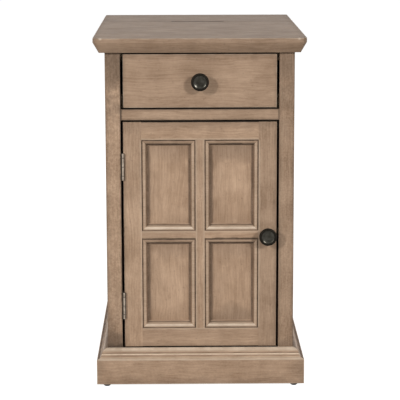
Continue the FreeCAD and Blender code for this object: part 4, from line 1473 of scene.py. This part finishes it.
# %% Places of the screws
HINGE_SCREW = {"Head": 5.2 * MM, "Shank": 2.8 * MM, "Length": 13 * MM}
TOP_SCREW = {"Head": 8 * MM, "Shank": 4 * MM, "Length": 32 * MM}
SCREW_PITCH = 30.8 * MM
LEAF = 1.5 * MM
LEAF_GAP = 0.2 * MM


def rows_in(low, high):
    """The four screw centres along a pair of hinges, from the ends of their shared box."""
    first = low + HINGE_SCREW["Head"] / 2
    last = high - HINGE_SCREW["Head"] / 2
    return [first, first + SCREW_PITCH, last - SCREW_PITCH, last]


def screw_points(places, inward):
    """Places that share one direction."""
    return [(Vector(place), Vector(inward)) for place in places]


door_set_low, door_set_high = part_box("door_hinge_screws")
lid_set_low, lid_set_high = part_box("lid_hinge_screws")
top_set_low, top_set_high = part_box("top_screws")
frame_leaf_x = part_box("door_hinge_frame_leaves")[0].x + LEAF
rail_leaf_z = lid_set_low.z - LEAF_GAP
door_screw_y = (door_set_low.y + door_set_high.y) / 2
lid_screw_y = (lid_set_low.y + lid_set_high.y) / 2
door_rows = rows_in(door_set_low.z, door_set_high.z)
lid_rows = rows_in(lid_set_low.x, lid_set_high.x)
top_radius = TOP_SCREW["Head"] / 2
top_places = [
    (x, y, top_set_low.z)
    for x in (top_set_low.x + top_radius, top_set_high.x - top_radius)
    for y in (top_set_low.y + top_radius, top_set_high.y - top_radius)
]
in_door = screw_points([(door_set_low.x, door_screw_y, z) for z in door_rows], (1, 0, 0))
in_frame = screw_points([(frame_leaf_x, door_screw_y, z) for z in door_rows], (-1, 0, 0))
in_lid = screw_points([(x, lid_screw_y, lid_set_low.z) for x in lid_rows], (0, 0, 1))
in_rail = screw_points([(x, lid_screw_y, rail_leaf_z) for x in lid_rows], (0, 0, -1))
SCREW_SETS = {
    "door_hinge_screws": (HINGE_SCREW, in_door),
    "lid_hinge_screws": (HINGE_SCREW, in_lid),
    "cabinet_hinge_screws": (HINGE_SCREW, in_frame + in_rail),
    "top_screws": (TOP_SCREW, screw_points(top_places, (0, 0, 1))),
}
print("screws:", {node: len(points) for node, (size, points) in SCREW_SETS.items()})

# %% Drive the screws
def drive(node, size, points, seed):
    """Grows a set of screws in place of a node's plain ones."""
    mesh = bpy.data.meshes.new(node + "_points")
    mesh.from_pydata([place for place, inward in points], [], [])
    facing = mesh.attributes.new("inward", "FLOAT_VECTOR", "POINT")
    for item, (place, inward) in zip(facing.data, points):
        item.vector = inward
    piece = grown("driven_" + node, screw_tree, mesh, {**size, "Seed": seed, "Material": zinc})
    stand_for(piece, node)
    return piece


for seed, (node, (size, points)) in enumerate(SCREW_SETS.items()):
    driven = drive(node, size, points, seed)
    print(driven.name, "faces", len(driven.data.polygons))

# %% [markdown]
# Nails of the back
# The thin back is nailed into its rebate. Nails follow the panel's edge at an even pitch, which is
# what a resampled curve is for: a rectangle set in from the edge, points along it, and a
# small domed head on each point.

# %% Geometry nodes: nails along a rectangle
NAIL_INSET = 4 * MM
NAIL_PITCH = 85 * MM
NAIL_HEAD = 3.2 * MM
DOME = (1, 1, 0.3)


def panel_nails():
    """Domed heads along a rectangle."""
    tree, given = geometry_tree(
        "panel_nails",
        {"Width": "Float", "Height": "Float", "Pitch": "Float", "Head": "Float", "Centre": "Vector",
         "Material": "Material"},
    )
    border = add(
        tree, "GeometryNodeCurvePrimitiveQuadrilateral", Width=given["Width"], Height=given["Height"],
    )
    spaced = add(
        tree, "GeometryNodeResampleCurve", {"mode": "LENGTH"}, Curve=border.outputs[0], Length=given["Pitch"],
    )
    ball = add(tree, "GeometryNodeMeshUVSphere", Segments=12, Rings=6, Radius=times(tree, given["Head"], 0.5))
    dome = add(tree, "GeometryNodeTransform", Geometry=ball.outputs[0], Scale=DOME)
    nails = add(tree, "GeometryNodeInstanceOnPoints", Points=spaced.outputs[0], Instance=dome.outputs[0])
    stood = add(
        tree, "GeometryNodeTransform", Geometry=nails.outputs[0],
        Translation=given["Centre"], Rotation=STAND_UP,
    )
    finish_tree(tree, stood.outputs[0], given["Material"])
    return tree


back_low, back_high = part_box("back_panel")
back_nails = grown(
    "back_panel_nails", panel_nails(), bpy.data.meshes.new("nail_points"),
    {
        "Width": back_high.x - back_low.x - 2 * NAIL_INSET,
        "Height": back_high.z - back_low.z - 2 * NAIL_INSET,
        "Pitch": NAIL_PITCH, "Head": NAIL_HEAD, "Material": zinc,
        "Centre": Vector((0, back_high.y, (back_low.z + back_high.z) / 2)),
    },
)
smooth(back_nails)
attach(back_nails, body_of["back_panel"])
print("nail faces:", len(back_nails.data.polygons))

# %% [markdown]
# Measure
# The box of the dressed table is printed in millimetres, so a piece that sticks out is noticed at once.

# %% Sizes
low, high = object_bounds()
print("dressed size in mm:", [round((b - a) / MM, 1) for a, b in zip(low, high)])
